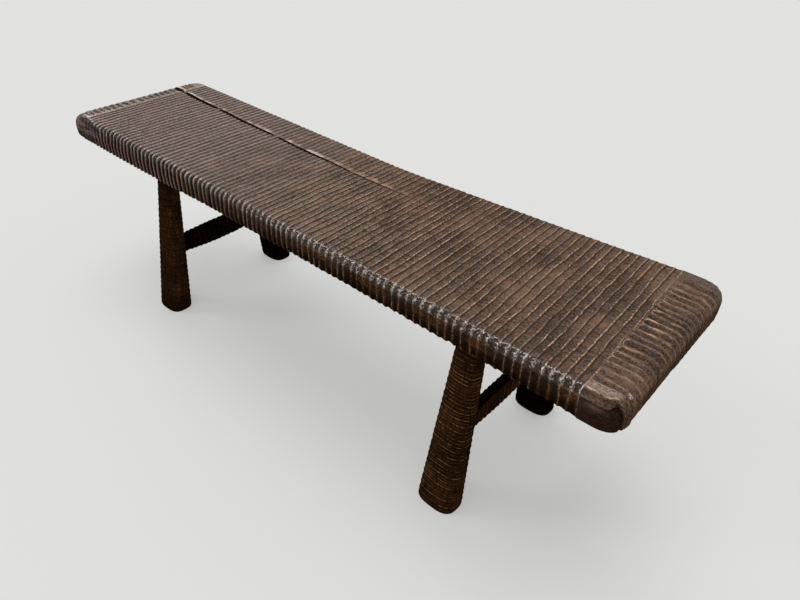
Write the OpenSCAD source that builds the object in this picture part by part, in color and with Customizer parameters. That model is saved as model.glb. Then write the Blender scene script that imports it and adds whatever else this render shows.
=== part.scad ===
// Carved teak bench: one slab seat on four splayed legs, with a stretcher between each near and far leg.
// Millimetres. X runs along the seat, the near edge is on the -Y side, Z is up and the floor is Z = 0.

/* [Seat] */
// Length of the seat
seat_length = 1462; // [1200:2:1900]
// Height of the seat top above the floor
seat_height = 450; // [400:5:520]
// Thickness of the seat slab
seat_thickness = 58; // [54:1:75]
// Distance from the centre line to the straight near edge
near_edge_reach = 188; // [170:1:200]
// Distance from the centre line to the far edge at the left end
far_left_reach = 177; // [170:1:200]
// Distance from the centre line to the far edge at its waist
waist_reach = 160; // [150:1:169]
// Distance from the centre line to the far edge at the right end
far_right_reach = 201; // [170:1:201]
// Where the waist lies, measured from the middle towards the right end
waist_shift = 75; // [-100:5:200]
// Length at each end over which the far edge runs parallel to the near edge
end_straight = 70; // [60:5:110]
// Radius of the near left corner seen from above
near_left_corner_radius = 12; // [6:1:40]
// Radius of the near right corner seen from above
near_right_corner_radius = 28; // [6:1:40]
// Radius of the far left corner seen from above
far_left_corner_radius = 30; // [28:1:55]
// Radius of the far right corner seen from above
far_right_corner_radius = 41; // [28:1:55]
// Radius along the seat's upper edges
top_edge_radius = 24; // [10:1:27]
// Radius along the seat's lower edges
bottom_edge_radius = 14; // [4:1:18]

/* [Drying crack] */
// Width of the crack where it opens at the left end
crack_width = 4; // [1:0.5:6]
// Depth of the crack below the seat top
crack_depth = 9; // [3:1:14]

/* [Legs] */
// Distance from each end of the seat to the leg centres
leg_inset = 281; // [180:5:340]
// Distance between the near and far foot centres
foot_spacing = 340; // [320:2:360]
// Distance between the near and far leg centres under the seat
leg_top_spacing = 228; // [200:2:250]
// Size of a foot along the seat
foot_length = 87; // [70:1:100]
// Size of a foot across the seat
foot_width = 63; // [56:1:72]
// Corner radius of a foot
foot_corner_radius = 26; // [10:1:27]
// Size of a leg's top along the seat
leg_top_length = 51; // [44:1:64]
// Size of a leg's top across the seat
leg_top_width = 39; // [38:1:50]
// Corner radius of a leg's top
leg_top_corner_radius = 17; // [8:1:18]

/* [Stretchers] */
// Thickness of a stretcher along the seat
stretcher_thickness = 22; // [18:1:30]
// Height of a stretcher at its middle
stretcher_height = 58; // [46:1:70]
// Height of a stretcher's lowest point above the floor
stretcher_clearance = 134; // [90:2:220]
// Rise of a stretcher's upper edge from its ends to its middle
upper_rise = 4; // [2:1:8]
// Drop of a stretcher's lower edge from its ends to its middle
lower_drop = 8; // [2:1:10]
// How far a stretcher's end is let into the leg's face
let_in = 6; // [5:1:8]

/* [Joints] */
// Diameter of the round tenon on a leg's top
leg_tenon_diameter = 30; // [22:1:32]
// Length of that tenon
leg_tenon_length = 32; // [24:1:36]
// Diameter of the round tenon on a stretcher's end
stretcher_tenon_diameter = 15; // [12:1:17]
// Length of that tenon
stretcher_tenon_length = 20; // [14:1:24]
// Gap round a tenon in its mortise, taken up by glue
tenon_gap = 0.15; // [0.05:0.05:0.3]
// Space left at the bottom of a mortise beyond the tenon
mortise_end_space = 1.5; // [1:0.5:3]
// Gap between a wedge and its slot, or a stretcher and its housing
wedge_gap = 0.1; // [0.05:0.05:0.3]
// Thickness of a leg wedge at its butt
leg_wedge_thickness = 5; // [3:0.5:7]
// Width of a leg wedge
leg_wedge_width = 24; // [16:1:26]
// Length of a leg wedge
leg_wedge_length = 22; // [14:1:26]
// Thickness of a stretcher wedge at its butt
stretcher_wedge_thickness = 3; // [2:0.5:4]
// Width of a stretcher wedge
stretcher_wedge_width = 12; // [8:1:13]
// Length of a stretcher wedge
stretcher_wedge_length = 13; // [8:1:16]
// Thickness of any wedge at its tip
wedge_tip_thickness = 1; // [0.5:0.5:1.5]

/* [Hidden] */

$fn = 64;
// Facets of the long flat arcs along a stretcher
long_arc_facets = 1440;
// How far a cutting shape runs past what it cuts
overcut = 10;

LEFT = -1;
RIGHT = 1;
NEAR = -1;
FAR = 1;

half_length = seat_length / 2;
shoulder_height = seat_height - seat_thickness;
leg_x = half_length - leg_inset;
foot_y = foot_spacing / 2;
leg_top_y = leg_top_spacing / 2;
// A leg leans across the seat, from its foot in towards its top
leg_lean = atan((foot_y - leg_top_y) / shoulder_height);

// The far edge slopes from its end stretches in to the waist
slope_end = half_length - end_straight;
far_left_slope = (waist_reach - far_left_reach) / (waist_shift + slope_end);
far_right_slope = (far_right_reach - waist_reach) / (slope_end - waist_shift);

// A stretcher is housed in the inner faces of its two legs
stretcher_middle = stretcher_clearance + stretcher_height / 2;
leg_share = stretcher_middle / shoulder_height;
leg_y_at_stretcher = foot_y + (leg_top_y - foot_y) * leg_share;
leg_width_at_stretcher = foot_width + (leg_top_width - foot_width) * leg_share;
stretcher_reach = leg_y_at_stretcher - leg_width_at_stretcher / 2 + let_in;
upper_radius = (pow(stretcher_reach, 2) + pow(upper_rise, 2)) / (2 * upper_rise);
lower_radius = (pow(stretcher_reach, 2) + pow(lower_drop, 2)) / (2 * lower_drop);

// Route of the crack: distance from the left end, distance from the centre line, share of the full width
crack_route = [
    [-5, 97, 1], [60, 94, 1], [225, 80, 0.9], [235, 79, 0.8], [455, 75, 0.7], [710, 66, 0.45], [905, 65, 0.15]
];

// Mirrors a shape made for the far right quarter of the bench to the quarter on the given sides
module at_quarter(side, depth) {
    mirror([side == LEFT ? 1 : 0, 0, 0]) mirror([0, depth == NEAR ? 1 : 0, 0]) children();
}

// The seat's edge from the side: it ends at 0 and the slab lies to the left
module edge_outline() {
    difference() {
        translate([-top_edge_radius, 0]) square([top_edge_radius, seat_thickness]);
        edge_corner(seat_thickness - top_edge_radius, top_edge_radius, 1);
        edge_corner(bottom_edge_radius, bottom_edge_radius, -1);
    }
}

module edge_corner(centre_height, radius, up) {
    translate([-radius, centre_height]) {
        difference() {
            translate([0, up > 0 ? 0 : -radius - 1]) square(radius + 1);
            circle(radius);
        }
    }
}

// The waste along an edge that runs along Y: all that lies outside the rounded edge, as far out as reach
module edge_waste(length, reach) {
    rotate([90, 0, 0]) {
        linear_extrude(length, center = true) {
            difference() {
                translate([-top_edge_radius, -overcut]) {
                    square([top_edge_radius + reach, seat_thickness + 2 * overcut]);
                }
                edge_outline();
            }
        }
    }
}

// A round disc with the seat's edge, which rounds a far corner
module corner_disc(radius) {
    translate([0, 0, shoulder_height]) {
        rotate_extrude() {
            translate([radius, 0]) edge_outline();
            square([radius - top_edge_radius, seat_thickness]);
        }
    }
}

// The waste at one corner, outside the round shape that stands at the corner's centre
module corner_waste(side, depth, reach, radius) {
    at_quarter(side, depth) {
        translate([half_length - radius, reach - radius, 0]) {
            difference() {
                translate([0, 0, shoulder_height - overcut]) {
                    cube([radius + overcut, radius + overcut, seat_thickness + 2 * overcut]);
                }
                children();
            }
        }
    }
}

// At a near corner the two rounded edges meet in a ridge, and only the upright corner is rounded
module near_corner_waste(side, radius) {
    corner_waste(side, NEAR, near_edge_reach, radius) cylinder(h = seat_height + 2 * overcut, r = radius);
}

module far_corner_waste(side, reach, radius) {
    corner_waste(side, FAR, reach, radius) corner_disc(radius);
}

// A plain block as thick as the seat and larger all round
module seat_blank() {
    translate([-half_length - overcut, -near_edge_reach - overcut, shoulder_height]) {
        cube([seat_length + 2 * overcut, near_edge_reach + far_right_reach + 2 * overcut, seat_thickness]);
    }
}

module near_waste() {
    translate([0, -near_edge_reach, shoulder_height]) {
        rotate([0, 0, -90]) edge_waste(seat_length + 4 * overcut, 2 * overcut);
    }
}

module end_waste(side) {
    translate([side * half_length, 0, shoulder_height]) {
        rotate([0, 0, side == RIGHT ? 0 : 180]) edge_waste(2 * foot_spacing, 2 * overcut);
    }
}

// A sloping stretch of the far edge, run on past the waist
module far_slope_waste(slope) {
    translate([waist_shift, waist_reach, shoulder_height]) {
        rotate([0, 0, 90 + atan(slope)]) edge_waste(2 * seat_length, foot_spacing);
    }
}

// The far edge's straight stretch at one end, run on past the slope
module far_end_waste(side, reach) {
    translate([side * half_length, reach, shoulder_height]) {
        rotate([0, 0, 90]) edge_waste(half_length, foot_spacing);
    }
}

module far_slopes_waste() {
    intersection() {
        far_slope_waste(far_left_slope);
        far_slope_waste(far_right_slope);
    }
}

// The block is larger than the seat, so that no side of it lies in a side that is cut.
// The slopes are cut before the straight edges, which they meet at a slight angle.
module slab_with_rounded_edges() {
    difference() {
        difference() {
            seat_blank();
            far_slopes_waste();
        }
        near_waste();
        end_waste(LEFT);
        end_waste(RIGHT);
        far_end_waste(LEFT, far_left_reach);
        far_end_waste(RIGHT, far_right_reach);
    }
}

// The corners are cut after the edges, because each far corner's disc runs smoothly into two of them
module rounded_slab() {
    difference() {
        slab_with_rounded_edges();
        near_corner_waste(LEFT, near_left_corner_radius);
        near_corner_waste(RIGHT, near_right_corner_radius);
        far_corner_waste(LEFT, far_left_reach, far_left_corner_radius);
        far_corner_waste(RIGHT, far_right_reach, far_right_corner_radius);
    }
}

module crack() {
    upper_side = [for (p = crack_route) [p[0] - half_length, p[1] + p[2] * crack_width / 2]];
    lower_side = [for (p = crack_route) [p[0] - half_length, p[1] - p[2] * crack_width / 2]];
    last = len(crack_route) - 1;
    translate([0, 0, seat_height - crack_depth]) {
        linear_extrude(crack_depth + overcut) {
            polygon(concat(lower_side, [for (i = [last:-1:0]) upper_side[i]]));
        }
    }
}

// Stands a joint on the leg's shoulder, along the leg
module on_shoulder() {
    translate([leg_x, leg_top_y, shoulder_height]) rotate([leg_lean, 0, 0]) children();
}

// Lays a joint on the stretcher's far end, pointing into the leg, with its wedge across the leg's grain
module on_stretcher_end() {
    translate([leg_x, stretcher_reach, stretcher_middle]) rotate([-90, 0, 0]) rotate([0, 0, 90]) children();
}

module tenon(diameter, length, root) {
    translate([0, 0, -root]) cylinder(h = root + length, d = diameter);
}

module mortise(diameter, length, mouth) {
    translate([0, 0, -mouth]) {
        cylinder(h = mouth + length + mortise_end_space, d = diameter + 2 * tenon_gap);
    }
}

// A wedge with its butt on the mortise's floor and its tip down in the tenon
module wedge(floor_depth, thickness, width, length, gap) {
    translate([0, 0, floor_depth]) {
        rotate([90, 0, 0]) {
            linear_extrude(width, center = true) {
                polygon([
                    [-thickness / 2 - gap, 0],
                    [-wedge_tip_thickness / 2 - gap, -length - gap],
                    [wedge_tip_thickness / 2 + gap, -length - gap],
                    [thickness / 2 + gap, 0]
                ]);
            }
        }
    }
}

module leg_wedge_shape(width, gap) {
    wedge(leg_tenon_length + mortise_end_space, leg_wedge_thickness, width, leg_wedge_length, gap);
}

module stretcher_wedge_shape(width, gap) {
    floor_depth = stretcher_tenon_length + mortise_end_space;
    wedge(floor_depth, stretcher_wedge_thickness, width, stretcher_wedge_length, gap);
}

module rounded_plate(length, width, radius, thickness) {
    for (x = [-1, 1], y = [-1, 1]) {
        translate([x * (length / 2 - radius), y * (width / 2 - radius), 0]) {
            cylinder(h = thickness, r = radius, $fn = 32);
        }
    }
}

module leg_blank() {
    sole = 0.5;
    hull() {
        translate([leg_x, foot_y, 0]) rounded_plate(foot_length, foot_width, foot_corner_radius, sole);
        translate([leg_x, leg_top_y, shoulder_height - sole]) {
            rounded_plate(leg_top_length, leg_top_width, leg_top_corner_radius, sole);
        }
    }
}

// The stretcher without its tenons, wider all round by the gap where a leg is cut out for it
module stretcher_blank(gap) {
    translate([leg_x, 0, 0]) {
        rotate([90, 0, 90]) {
            linear_extrude(stretcher_thickness + 2 * gap, center = true) {
                intersection() {
                    translate([0, stretcher_clearance + stretcher_height - upper_radius]) {
                        circle(upper_radius + gap, $fn = long_arc_facets);
                    }
                    translate([0, stretcher_clearance + lower_radius]) {
                        circle(lower_radius + gap, $fn = long_arc_facets);
                    }
                    translate([-stretcher_reach, 0]) square([2 * stretcher_reach, shoulder_height]);
                }
            }
        }
    }
}

module seat_slab() {
    color([0.40, 0.34, 0.30]) {
        difference() {
            rounded_slab();
            crack();
            for (side = [LEFT, RIGHT], depth = [NEAR, FAR]) {
                at_quarter(side, depth) on_shoulder() mortise(leg_tenon_diameter, leg_tenon_length, overcut);
            }
        }
    }
}

module leg(side, depth) {
    color([0.17, 0.12, 0.09]) {
        at_quarter(side, depth) {
            difference() {
                union() {
                    leg_blank();
                    on_shoulder() tenon(leg_tenon_diameter, leg_tenon_length, overcut);
                }
                on_shoulder() leg_wedge_shape(2 * leg_tenon_diameter, wedge_gap);
                stretcher_blank(wedge_gap);
                on_stretcher_end() mortise(stretcher_tenon_diameter, stretcher_tenon_length, 1);
            }
        }
    }
}

module stretcher(side) {
    color([0.15, 0.10, 0.07]) {
        mirror([side == LEFT ? 1 : 0, 0, 0]) {
            difference() {
                union() {
                    stretcher_blank(0);
                    stretcher_ends() tenon(stretcher_tenon_diameter, stretcher_tenon_length, overcut);
                }
                stretcher_ends() stretcher_wedge_shape(2 * stretcher_tenon_diameter, wedge_gap);
            }
        }
    }
}

module stretcher_ends() {
    on_stretcher_end() children();
    mirror([0, 1, 0]) on_stretcher_end() children();
}

module leg_wedge(side, depth) {
    color([0.60, 0.45, 0.30]) at_quarter(side, depth) on_shoulder() leg_wedge_shape(leg_wedge_width, 0);
}

module stretcher_wedge(side, depth) {
    color([0.60, 0.45, 0.30]) {
        at_quarter(side, depth) on_stretcher_end() stretcher_wedge_shape(stretcher_wedge_width, 0);
    }
}

seat_slab();
leg(LEFT, NEAR);  // leg_near_left
leg(RIGHT, NEAR);  // leg_near_right
leg(LEFT, FAR);  // leg_far_left
leg(RIGHT, FAR);  // leg_far_right
stretcher(LEFT);  // stretcher_left
stretcher(RIGHT);  // stretcher_right
leg_wedge(LEFT, NEAR);  // leg_wedge_near_left
leg_wedge(RIGHT, NEAR);  // leg_wedge_near_right
leg_wedge(LEFT, FAR);  // leg_wedge_far_left
leg_wedge(RIGHT, FAR);  // leg_wedge_far_right
stretcher_wedge(LEFT, NEAR);  // stretcher_wedge_near_left
stretcher_wedge(RIGHT, NEAR);  // stretcher_wedge_near_right
stretcher_wedge(LEFT, FAR);  // stretcher_wedge_far_left
stretcher_wedge(RIGHT, FAR);  // stretcher_wedge_far_right
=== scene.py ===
import bpy
import numpy as np
from bpy.props import FloatProperty, FloatVectorProperty, IntProperty, PointerProperty
from bpy.types import Operator, Panel, PropertyGroup
from mathutils import Matrix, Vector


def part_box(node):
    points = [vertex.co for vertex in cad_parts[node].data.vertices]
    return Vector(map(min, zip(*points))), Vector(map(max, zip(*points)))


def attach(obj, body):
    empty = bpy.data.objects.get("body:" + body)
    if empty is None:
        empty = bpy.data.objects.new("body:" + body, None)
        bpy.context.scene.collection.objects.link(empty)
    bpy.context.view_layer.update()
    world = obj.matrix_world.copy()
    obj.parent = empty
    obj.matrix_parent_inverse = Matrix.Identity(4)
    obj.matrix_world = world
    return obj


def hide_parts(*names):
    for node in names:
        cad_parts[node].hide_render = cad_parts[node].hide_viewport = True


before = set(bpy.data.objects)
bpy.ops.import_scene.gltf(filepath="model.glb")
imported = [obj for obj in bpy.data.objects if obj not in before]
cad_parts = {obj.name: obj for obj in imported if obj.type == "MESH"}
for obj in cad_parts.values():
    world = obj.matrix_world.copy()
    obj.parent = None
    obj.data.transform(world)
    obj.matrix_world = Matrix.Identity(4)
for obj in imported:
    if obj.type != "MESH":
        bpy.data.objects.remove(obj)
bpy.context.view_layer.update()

bl_info = {
    "name": "Carved teak bench",
    "version": (1, 0, 0),
    "blender": (4, 5, 0),
    "location": "3D View > Sidebar > Carved bench",
    "description": "Carves and finishes a slab bench with fluted seat, ringed legs and low stretchers",
    "category": "Object",
}

SEAT_LOW, SEAT_HIGH = (np.array(corner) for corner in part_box("seat_slab"))
LEG_LOW, LEG_HIGH = (np.array(corner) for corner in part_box("leg_far_right"))
RAIL_LOW, RAIL_HIGH = (np.array(corner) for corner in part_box("stretcher_right"))
SEAT_THICKNESS = SEAT_HIGH[2] - SEAT_LOW[2]

MM = 0.001
# A distance past which no line shows on a ridge
NO_RIDGE = 7 * MM
# What the finish reads where nothing is carved
PLAIN_VALUES = {
    "ridge_distance": NO_RIDGE,
    "ridge_strength": 0.0,
    "painted_shade": 0.0,
    "warmth": 0.0,
    "polish": 0.0,
    "stain": 0.0,
    "wear_and_sheen": 0.0,
}


# Sizes and colours

def length_setting(name, millimetres, description):
    """A length that a user sets, given here in millimetres and kept in metres."""
    return FloatProperty(
        name=name, description=description, default=millimetres * MM, subtype="DISTANCE", unit="LENGTH")


def count_setting(name, default, low, high, description):
    """A whole number that a user sets."""
    return IntProperty(name=name, description=description, default=default, min=low, max=high)


def squareness_setting(corner, default):
    """How square a corner of the seat is, seen from above."""
    return FloatProperty(
        name=corner + " squareness", description="2 makes that corner round, more makes it squarer",
        default=default)


def strength_setting(name, default, description):
    """How bright a light is."""
    return FloatProperty(name=name + " strength", description=description, default=default)


def colour_setting(name, description, default):
    """A colour that a user picks, written as linear red, green and blue."""
    return FloatVectorProperty(
        name=name, description=description, default=default, subtype="COLOR", size=3, min=0.0, max=1.0)


class SeatSizes(PropertyGroup):
    flutes: count_setting("Flutes", 89, 20, 140, "Flutes carved across the seat")
    first_flute: length_setting("First flute", -678, "Start of the first flute, from the seat's middle")
    last_flute: length_setting("Last flute", 661, "End of the last flute, from the seat's middle")
    flute_depth: length_setting("Flute depth", 1.9, "Depth of a flute between its two ridges")
    wander: length_setting("Wander", 1.5, "How far a ridge wanders from a straight line")
    end_flutes: count_setting("End flutes", 19, 8, 30, "Short flutes carved lengthwise at each end")
    end_flute_depth: length_setting("End flute depth", 1.5, "Depth of a short flute at an end")
    corner_size: length_setting("Corner size", 41, "How far a rounded corner reaches along each edge")
    near_left_squareness: squareness_setting("Near left", 9.0)
    near_right_squareness: squareness_setting("Near right", 2.6)
    far_left_squareness: squareness_setting("Far left", 2.8)
    far_right_squareness: squareness_setting("Far right", 2.3)
    top_radius: length_setting("Top edge radius", 24, "Radius along the seat's upper edges")
    bottom_radius: length_setting("Bottom edge radius", 14, "Radius along the seat's lower edges")
    waist: length_setting("Waist", 160.5, "From the centre line to the far edge at its waist")
    waist_shift: length_setting("Waist shift", 75, "Where the waist lies, from the middle of the seat")
    far_left: length_setting("Far left", 175.5, "From the centre line to the far edge at the left end")
    crack_width: length_setting("Crack width", 8, "Width of the drying crack at the left end")
    crack_depth: length_setting("Crack depth", 9, "Depth of the drying crack at the left end")


class LegSizes(PropertyGroup):
    rings: count_setting("Rings", 27, 8, 50, "Ring-shaped flutes carved round a leg")
    ring_depth: length_setting("Ring depth", 0.8, "Depth of a ring between its two ridges")
    wander: length_setting("Wander", 1.6, "How far a ring's ridge wanders up and down")
    top_length: length_setting("Top length", 51, "Size of a leg's top along the seat")
    top_width: length_setting("Top width", 39, "Size of a leg's top across the seat")
    foot_width: length_setting("Foot width", 63, "Size of a foot across the seat")
    top_reach: length_setting("Top reach", 114, "From the centre line to a leg's centre under the seat")
    sole_radius: length_setting("Sole radius", 5, "Rounding round the sole")


class StretcherSizes(PropertyGroup):
    flutes: count_setting("Flutes", 18, 6, 40, "Upright flutes carved along a stretcher")
    flute_depth: length_setting("Flute depth", 0.7, "Depth of an upright flute")
    wander: length_setting("Wander", 1.3, "How far a flute's ridge wanders along the stretcher")
    edge_radius: length_setting("Edge radius", 7, "Rounding along a stretcher's edges")
    reach: length_setting("Reach", 126.3, "Half the length of a stretcher between its tenons")
    upper_rise: length_setting("Upper rise", 4, "Rise of the upper edge from the ends to the middle")
    lower_drop: length_setting("Lower drop", 8, "Drop of the lower edge from the ends to the middle")


class TeakColours(PropertyGroup):
    seat_dark: colour_setting("Seat dark", "Darkest stain on the seat", (0.031, 0.0180, 0.0105))
    seat_light: colour_setting("Seat light", "Lightest stain on the seat", (0.174, 0.096, 0.0605))
    leg_dark: colour_setting("Leg dark", "Darkest stain on legs and stretchers", (0.0125, 0.0054, 0.0024))
    leg_light: colour_setting("Leg light", "Lightest stain on legs and stretchers", (0.056, 0.0245, 0.0098))
    ridge: colour_setting("Ridge", "Bare teak on the rubbed ridges", (0.72, 0.430, 0.235))
    # Pale is also the colour of the painted glints on the polished shoulder, the crack's lip and the brow
    # line.
    pale: colour_setting("Pale", "Rubbed ridges where the wood is polished", (0.72, 0.625, 0.565))
    # Painted sheen and wear: this pale grey stands in for the sheen on the left half's ridges and the lit
    # first lobe, and for worn ridges and corners.
    wear_and_sheen: colour_setting("Worn", "Broad worn ridges on the left half", (0.45, 0.343, 0.300))
    leg_ridge: colour_setting("Leg ridge", "Rubbed ridges on legs and stretchers", (0.36, 0.19, 0.080))
    glow: colour_setting("Glow", "Bare wood where the near face has lost its stain", (0.44, 0.200, 0.080))
    rust: colour_setting("Rust", "Orange teak where the stain is thin", (0.26, 0.105, 0.030))
    shadow: colour_setting("Shadow", "What a recess leaves of a colour's light", (0.16, 0.11, 0.08))
    wedge: colour_setting("Wedge", "Unstained wood of the hidden wedges", (0.45, 0.31, 0.19))


class StageSizes(PropertyGroup):
    floor_reach: length_setting("Floor reach", 60000, "Half the width of the floor")
    dome_strength: strength_setting("Dome", 0.55, "Brightness of the white dome of light")
    top_strength: strength_setting("Top light", 1.0, "Brightness of the broad light from above")
    back_strength: strength_setting("Back light", 0.45, "Brightness of the broad low light from the far left")
    side_strength: strength_setting("Side light", 0.5, "Brightness of the small low light from the near left")
    floor_colour: colour_setting("Floor colour", "Colour of the floor and backdrop", (0.760, 0.760, 0.745))
    floor_bounce: colour_setting("Floor bounce", "Colour that bounced light finds", (0.30, 0.29, 0.28))


# Shapes as whole arrays

def eased(share):
    """Eases a share from 0 to 1: three times its square less twice its cube."""
    share = np.clip(share, 0.0, 1.0)
    return share * share * (3.0 - 2.0 * share)


def rise(value, start, width):
    """Eases from 0 to 1 as a value passes a start, over a width, both in millimetres."""
    return eased((value - start * MM) / (width * MM))


def fall(value, start, width):
    """Eases from 1 to 0 as a value passes a start, over a width, both in millimetres."""
    return 1.0 - rise(value, start, width)


def drift(seed, line, place, spacing):
    """Random values from -1 to 1 along each line: one at each knot, a spacing apart, eased in between."""
    line, place = np.broadcast_arrays(line, place)
    knot = np.floor(place / spacing).astype(int)
    share = eased(place / spacing - knot)
    knot = knot - knot.min()
    table = np.random.default_rng(seed).uniform(-1.0, 1.0, (line.max() + 1, knot.max() + 2))
    return table[line, knot] * (1.0 - share) + table[line, knot + 1] * share


def per_line(seed, line):
    """One random value from -1 to 1 for each line."""
    return drift(seed, line, 0.0, 1.0)


def patches(seed, across, along, spacing):
    """Random values from -1 to 1 over a surface: one at each knot of a square net, eased in between."""
    column = np.floor(across / spacing).astype(int)
    row = np.floor(along / spacing).astype(int)
    right = eased(across / spacing - column)
    up = eased(along / spacing - row)
    column = column - column.min()
    row = row - row.min()
    table = np.random.default_rng(seed).uniform(-1.0, 1.0, (column.max() + 2, row.max() + 2))
    lower = table[column, row] * (1.0 - right) + table[column + 1, row] * right
    upper = table[column, row + 1] * (1.0 - right) + table[column + 1, row + 1] * right
    return lower * (1.0 - up) + upper * up


def around(seed, line, angle, waves):
    """Random values from about -1 to 1 round each ring: a few waves with random sizes and starts."""
    rng = np.random.default_rng(seed)
    lines = int(np.max(line)) + 1
    total = 0.0
    for wave in range(1, waves + 1):
        size = rng.uniform(0.2, 1.0, lines)[line] / wave ** 0.6
        start = rng.uniform(0.0, 2.0 * np.pi, lines)[line]
        total = total + size * np.sin(wave * angle + start)
    return total / 1.6


def squared(angle, power):
    """How much further than a circle a superellipse of a power reaches at an angle.

    That is one over the root, of the same power, of the cosine's power plus the sine's.
    """
    total = np.abs(np.cos(angle)) ** power + np.abs(np.sin(angle)) ** power
    return total ** (-1.0 / power)


def superellipse(angle, half_length, half_width, power):
    """A rounded rectangle: cosine and sine, each raised to two over the power and given its sign."""
    cosine, sine = np.cos(angle), np.sin(angle)
    x = half_length * np.sign(cosine) * np.abs(cosine) ** (2.0 / power)
    y = half_width * np.sign(sine) * np.abs(sine) ** (2.0 / power)
    return x, y


def scoop(share):
    """The hollow of one gouge cut: one less the square of a share that runs from -1 to 1 over the cut."""
    return 1.0 - np.square(2.0 * share - 1.0)


def gouged(share, slant):
    """The hollow of one cut: even at a slant of 0, at 1 steep beside one ridge and slow to the next."""
    return scoop(share ** (1.0 - 0.45 * slant))


def stain_and_shade(share, slant):
    """Where stain settles and shade is painted in a cut: in its middle at a slant of 0, at 1 in a thin line
    below each ridge.
    """
    below_first = np.exp(-np.square((share - 0.20) / 0.11))
    below_next = np.exp(-np.square((share - 0.84) / 0.07))
    return (1.0 - slant) * scoop(share) ** 2 + slant * (below_first + 0.4 * below_next)


def grid_quads(rows, columns, first=0):
    """The faces of a grid of vertices, numbered row by row."""
    corner = first + np.arange(rows - 1)[:, None] * columns + np.arange(columns - 1)[None, :]
    return np.stack([corner, corner + 1, corner + columns + 1, corner + columns], axis=-1).reshape(-1, 4)


def border(number):
    """The outermost vertices of a grid of vertex numbers, once round."""
    return np.concatenate([number[0, :-1], number[:-1, -1], number[-1, :0:-1], number[:0:-1, 0]])


def tube_quads(rows, columns):
    """The faces of a grid of vertices whose rows are closed rings."""
    row = np.arange(rows - 1)[:, None] * columns
    here = np.arange(columns)[None, :]
    after = (here + 1) % columns
    return np.stack(
        [row + here, row + after, row + columns + after, row + columns + here], axis=-1).reshape(-1, 4)


def fan_triangles(ring, centre):
    """Closes a ring of vertices with one triangle from each of its edges to a centre vertex."""
    return np.stack([ring, np.roll(ring, -1), np.full(len(ring), centre)], axis=-1)


def stitch(outer, outer_share, inner, inner_share):
    """Joins two closed loops with triangles, each edge to the other loop's vertex that its middle passes."""
    outer_next = np.append(outer_share[1:], outer_share[0] + 1.0)
    inner_next = np.append(inner_share[1:], inner_share[0] + 1.0)
    outer_key = (outer_share + outer_next) / 2
    inner_key = (inner_share + inner_next) / 2
    passed_inner = np.searchsorted(inner_key, outer_key, side="left") % len(inner)
    passed_outer = np.searchsorted(outer_key, inner_key, side="right") % len(outer)
    from_outer = np.stack([outer, np.roll(outer, -1), inner[passed_inner]], axis=-1)
    from_inner = np.stack([np.roll(inner, -1), inner, outer[passed_outer]], axis=-1)
    return np.concatenate([from_outer, from_inner])


def enclosed_volume(vertices, triangles):
    """The volume inside a closed surface: the sum of its triangles' signed pyramids to the origin."""
    a, b, c = (vertices[triangles[:, i]] for i in range(3))
    return float(np.einsum("ij,ij->i", a, np.cross(b, c)).sum() / 6.0)


def add_piece(node, name, faces, vertices, values, ridge_line, material):
    """Makes a closed piece from its faces, points them outwards and keeps its values at the vertices.

    An edge whose two vertices lie on the same ridge line stays sharp.
    """
    quads, triangles = faces
    split = np.concatenate([quads[:, [0, 1, 2]], quads[:, [0, 2, 3]], triangles])
    if enclosed_volume(vertices, split) < 0.0:
        quads = quads[:, ::-1]
        triangles = triangles[:, ::-1]
    mesh = bpy.data.meshes.new(name)
    mesh.from_pydata(vertices.tolist(), [], quads.tolist() + triangles.tolist())
    mesh.polygons.foreach_set("use_smooth", np.ones(len(mesh.polygons), dtype=bool))
    for value_name, value in values.items():
        attribute = mesh.attributes.new(value_name, "FLOAT", "POINT")
        attribute.data.foreach_set("value", value.astype(np.float32))
    ends = np.empty(2 * len(mesh.edges), dtype=np.int32)
    mesh.edges.foreach_get("vertices", ends)
    one, other = ridge_line[ends[0::2]], ridge_line[ends[1::2]]
    sharp = mesh.attributes.new("sharp_edge", "BOOLEAN", "EDGE")
    sharp.data.foreach_set("value", (one == other) & (one > 0))
    mesh.update()
    mesh.materials.append(material)
    piece = bpy.data.objects.new(name, mesh)
    bpy.context.scene.collection.objects.link(piece)
    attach(piece, "root")
    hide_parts(node)


def with_fill(values, fill, count):
    """Each value over a piece's net as a flat row, followed by its fill for a count of further vertices."""
    return {name: np.append(values[name].ravel(), np.full(count, fill[name])) for name in values}


def add_tube(node, vertices, ends, values, ridge_line, material):
    """Makes a piece from rings of vertices, closed at each end by a fan of triangles to an end's centre."""
    rows, columns = vertices.shape[:2]
    flat = np.concatenate([vertices.reshape(-1, 3), ends])
    triangles = np.concatenate([
        fan_triangles(np.arange(columns), len(flat) - 2)[:, ::-1],
        fan_triangles((rows - 1) * columns + np.arange(columns), len(flat) - 1),
    ])
    shape = (rows, columns)
    values = {name: np.broadcast_to(values.get(name, 0.0), shape) for name in PLAIN_VALUES}
    line = np.append(np.broadcast_to(ridge_line, shape).ravel(), [0, 0])
    add_piece(
        node, "carved_" + node, (tube_quads(rows, columns), triangles), flat,
        with_fill(values, PLAIN_VALUES, 2), line, material)


# The seat

COLUMN_STEPS = 6
ROW_STEPS = 4
PROFILE_STEPS = 34
UNDER_COLUMNS = 120
UNDER_ROWS = 28
FLUTE_PITCH = 15 * MM
# Length at each end over which the far edge runs parallel to the near edge
END_STRAIGHT = 70 * MM
# Where the bands at the two ends start, from the seat's middle
LEFT_BAND = -681 * MM
RIGHT_BAND = 663 * MM
# How far a ridge on the right half leans for each length across the seat
RIDGE_LEAN = 1 / 30
# The row on the near edge below which the ridges lean
LEAN_ROW = 19
# Rows that one lobe takes on the near right shoulder
LOBE_ROWS = 5
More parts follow.
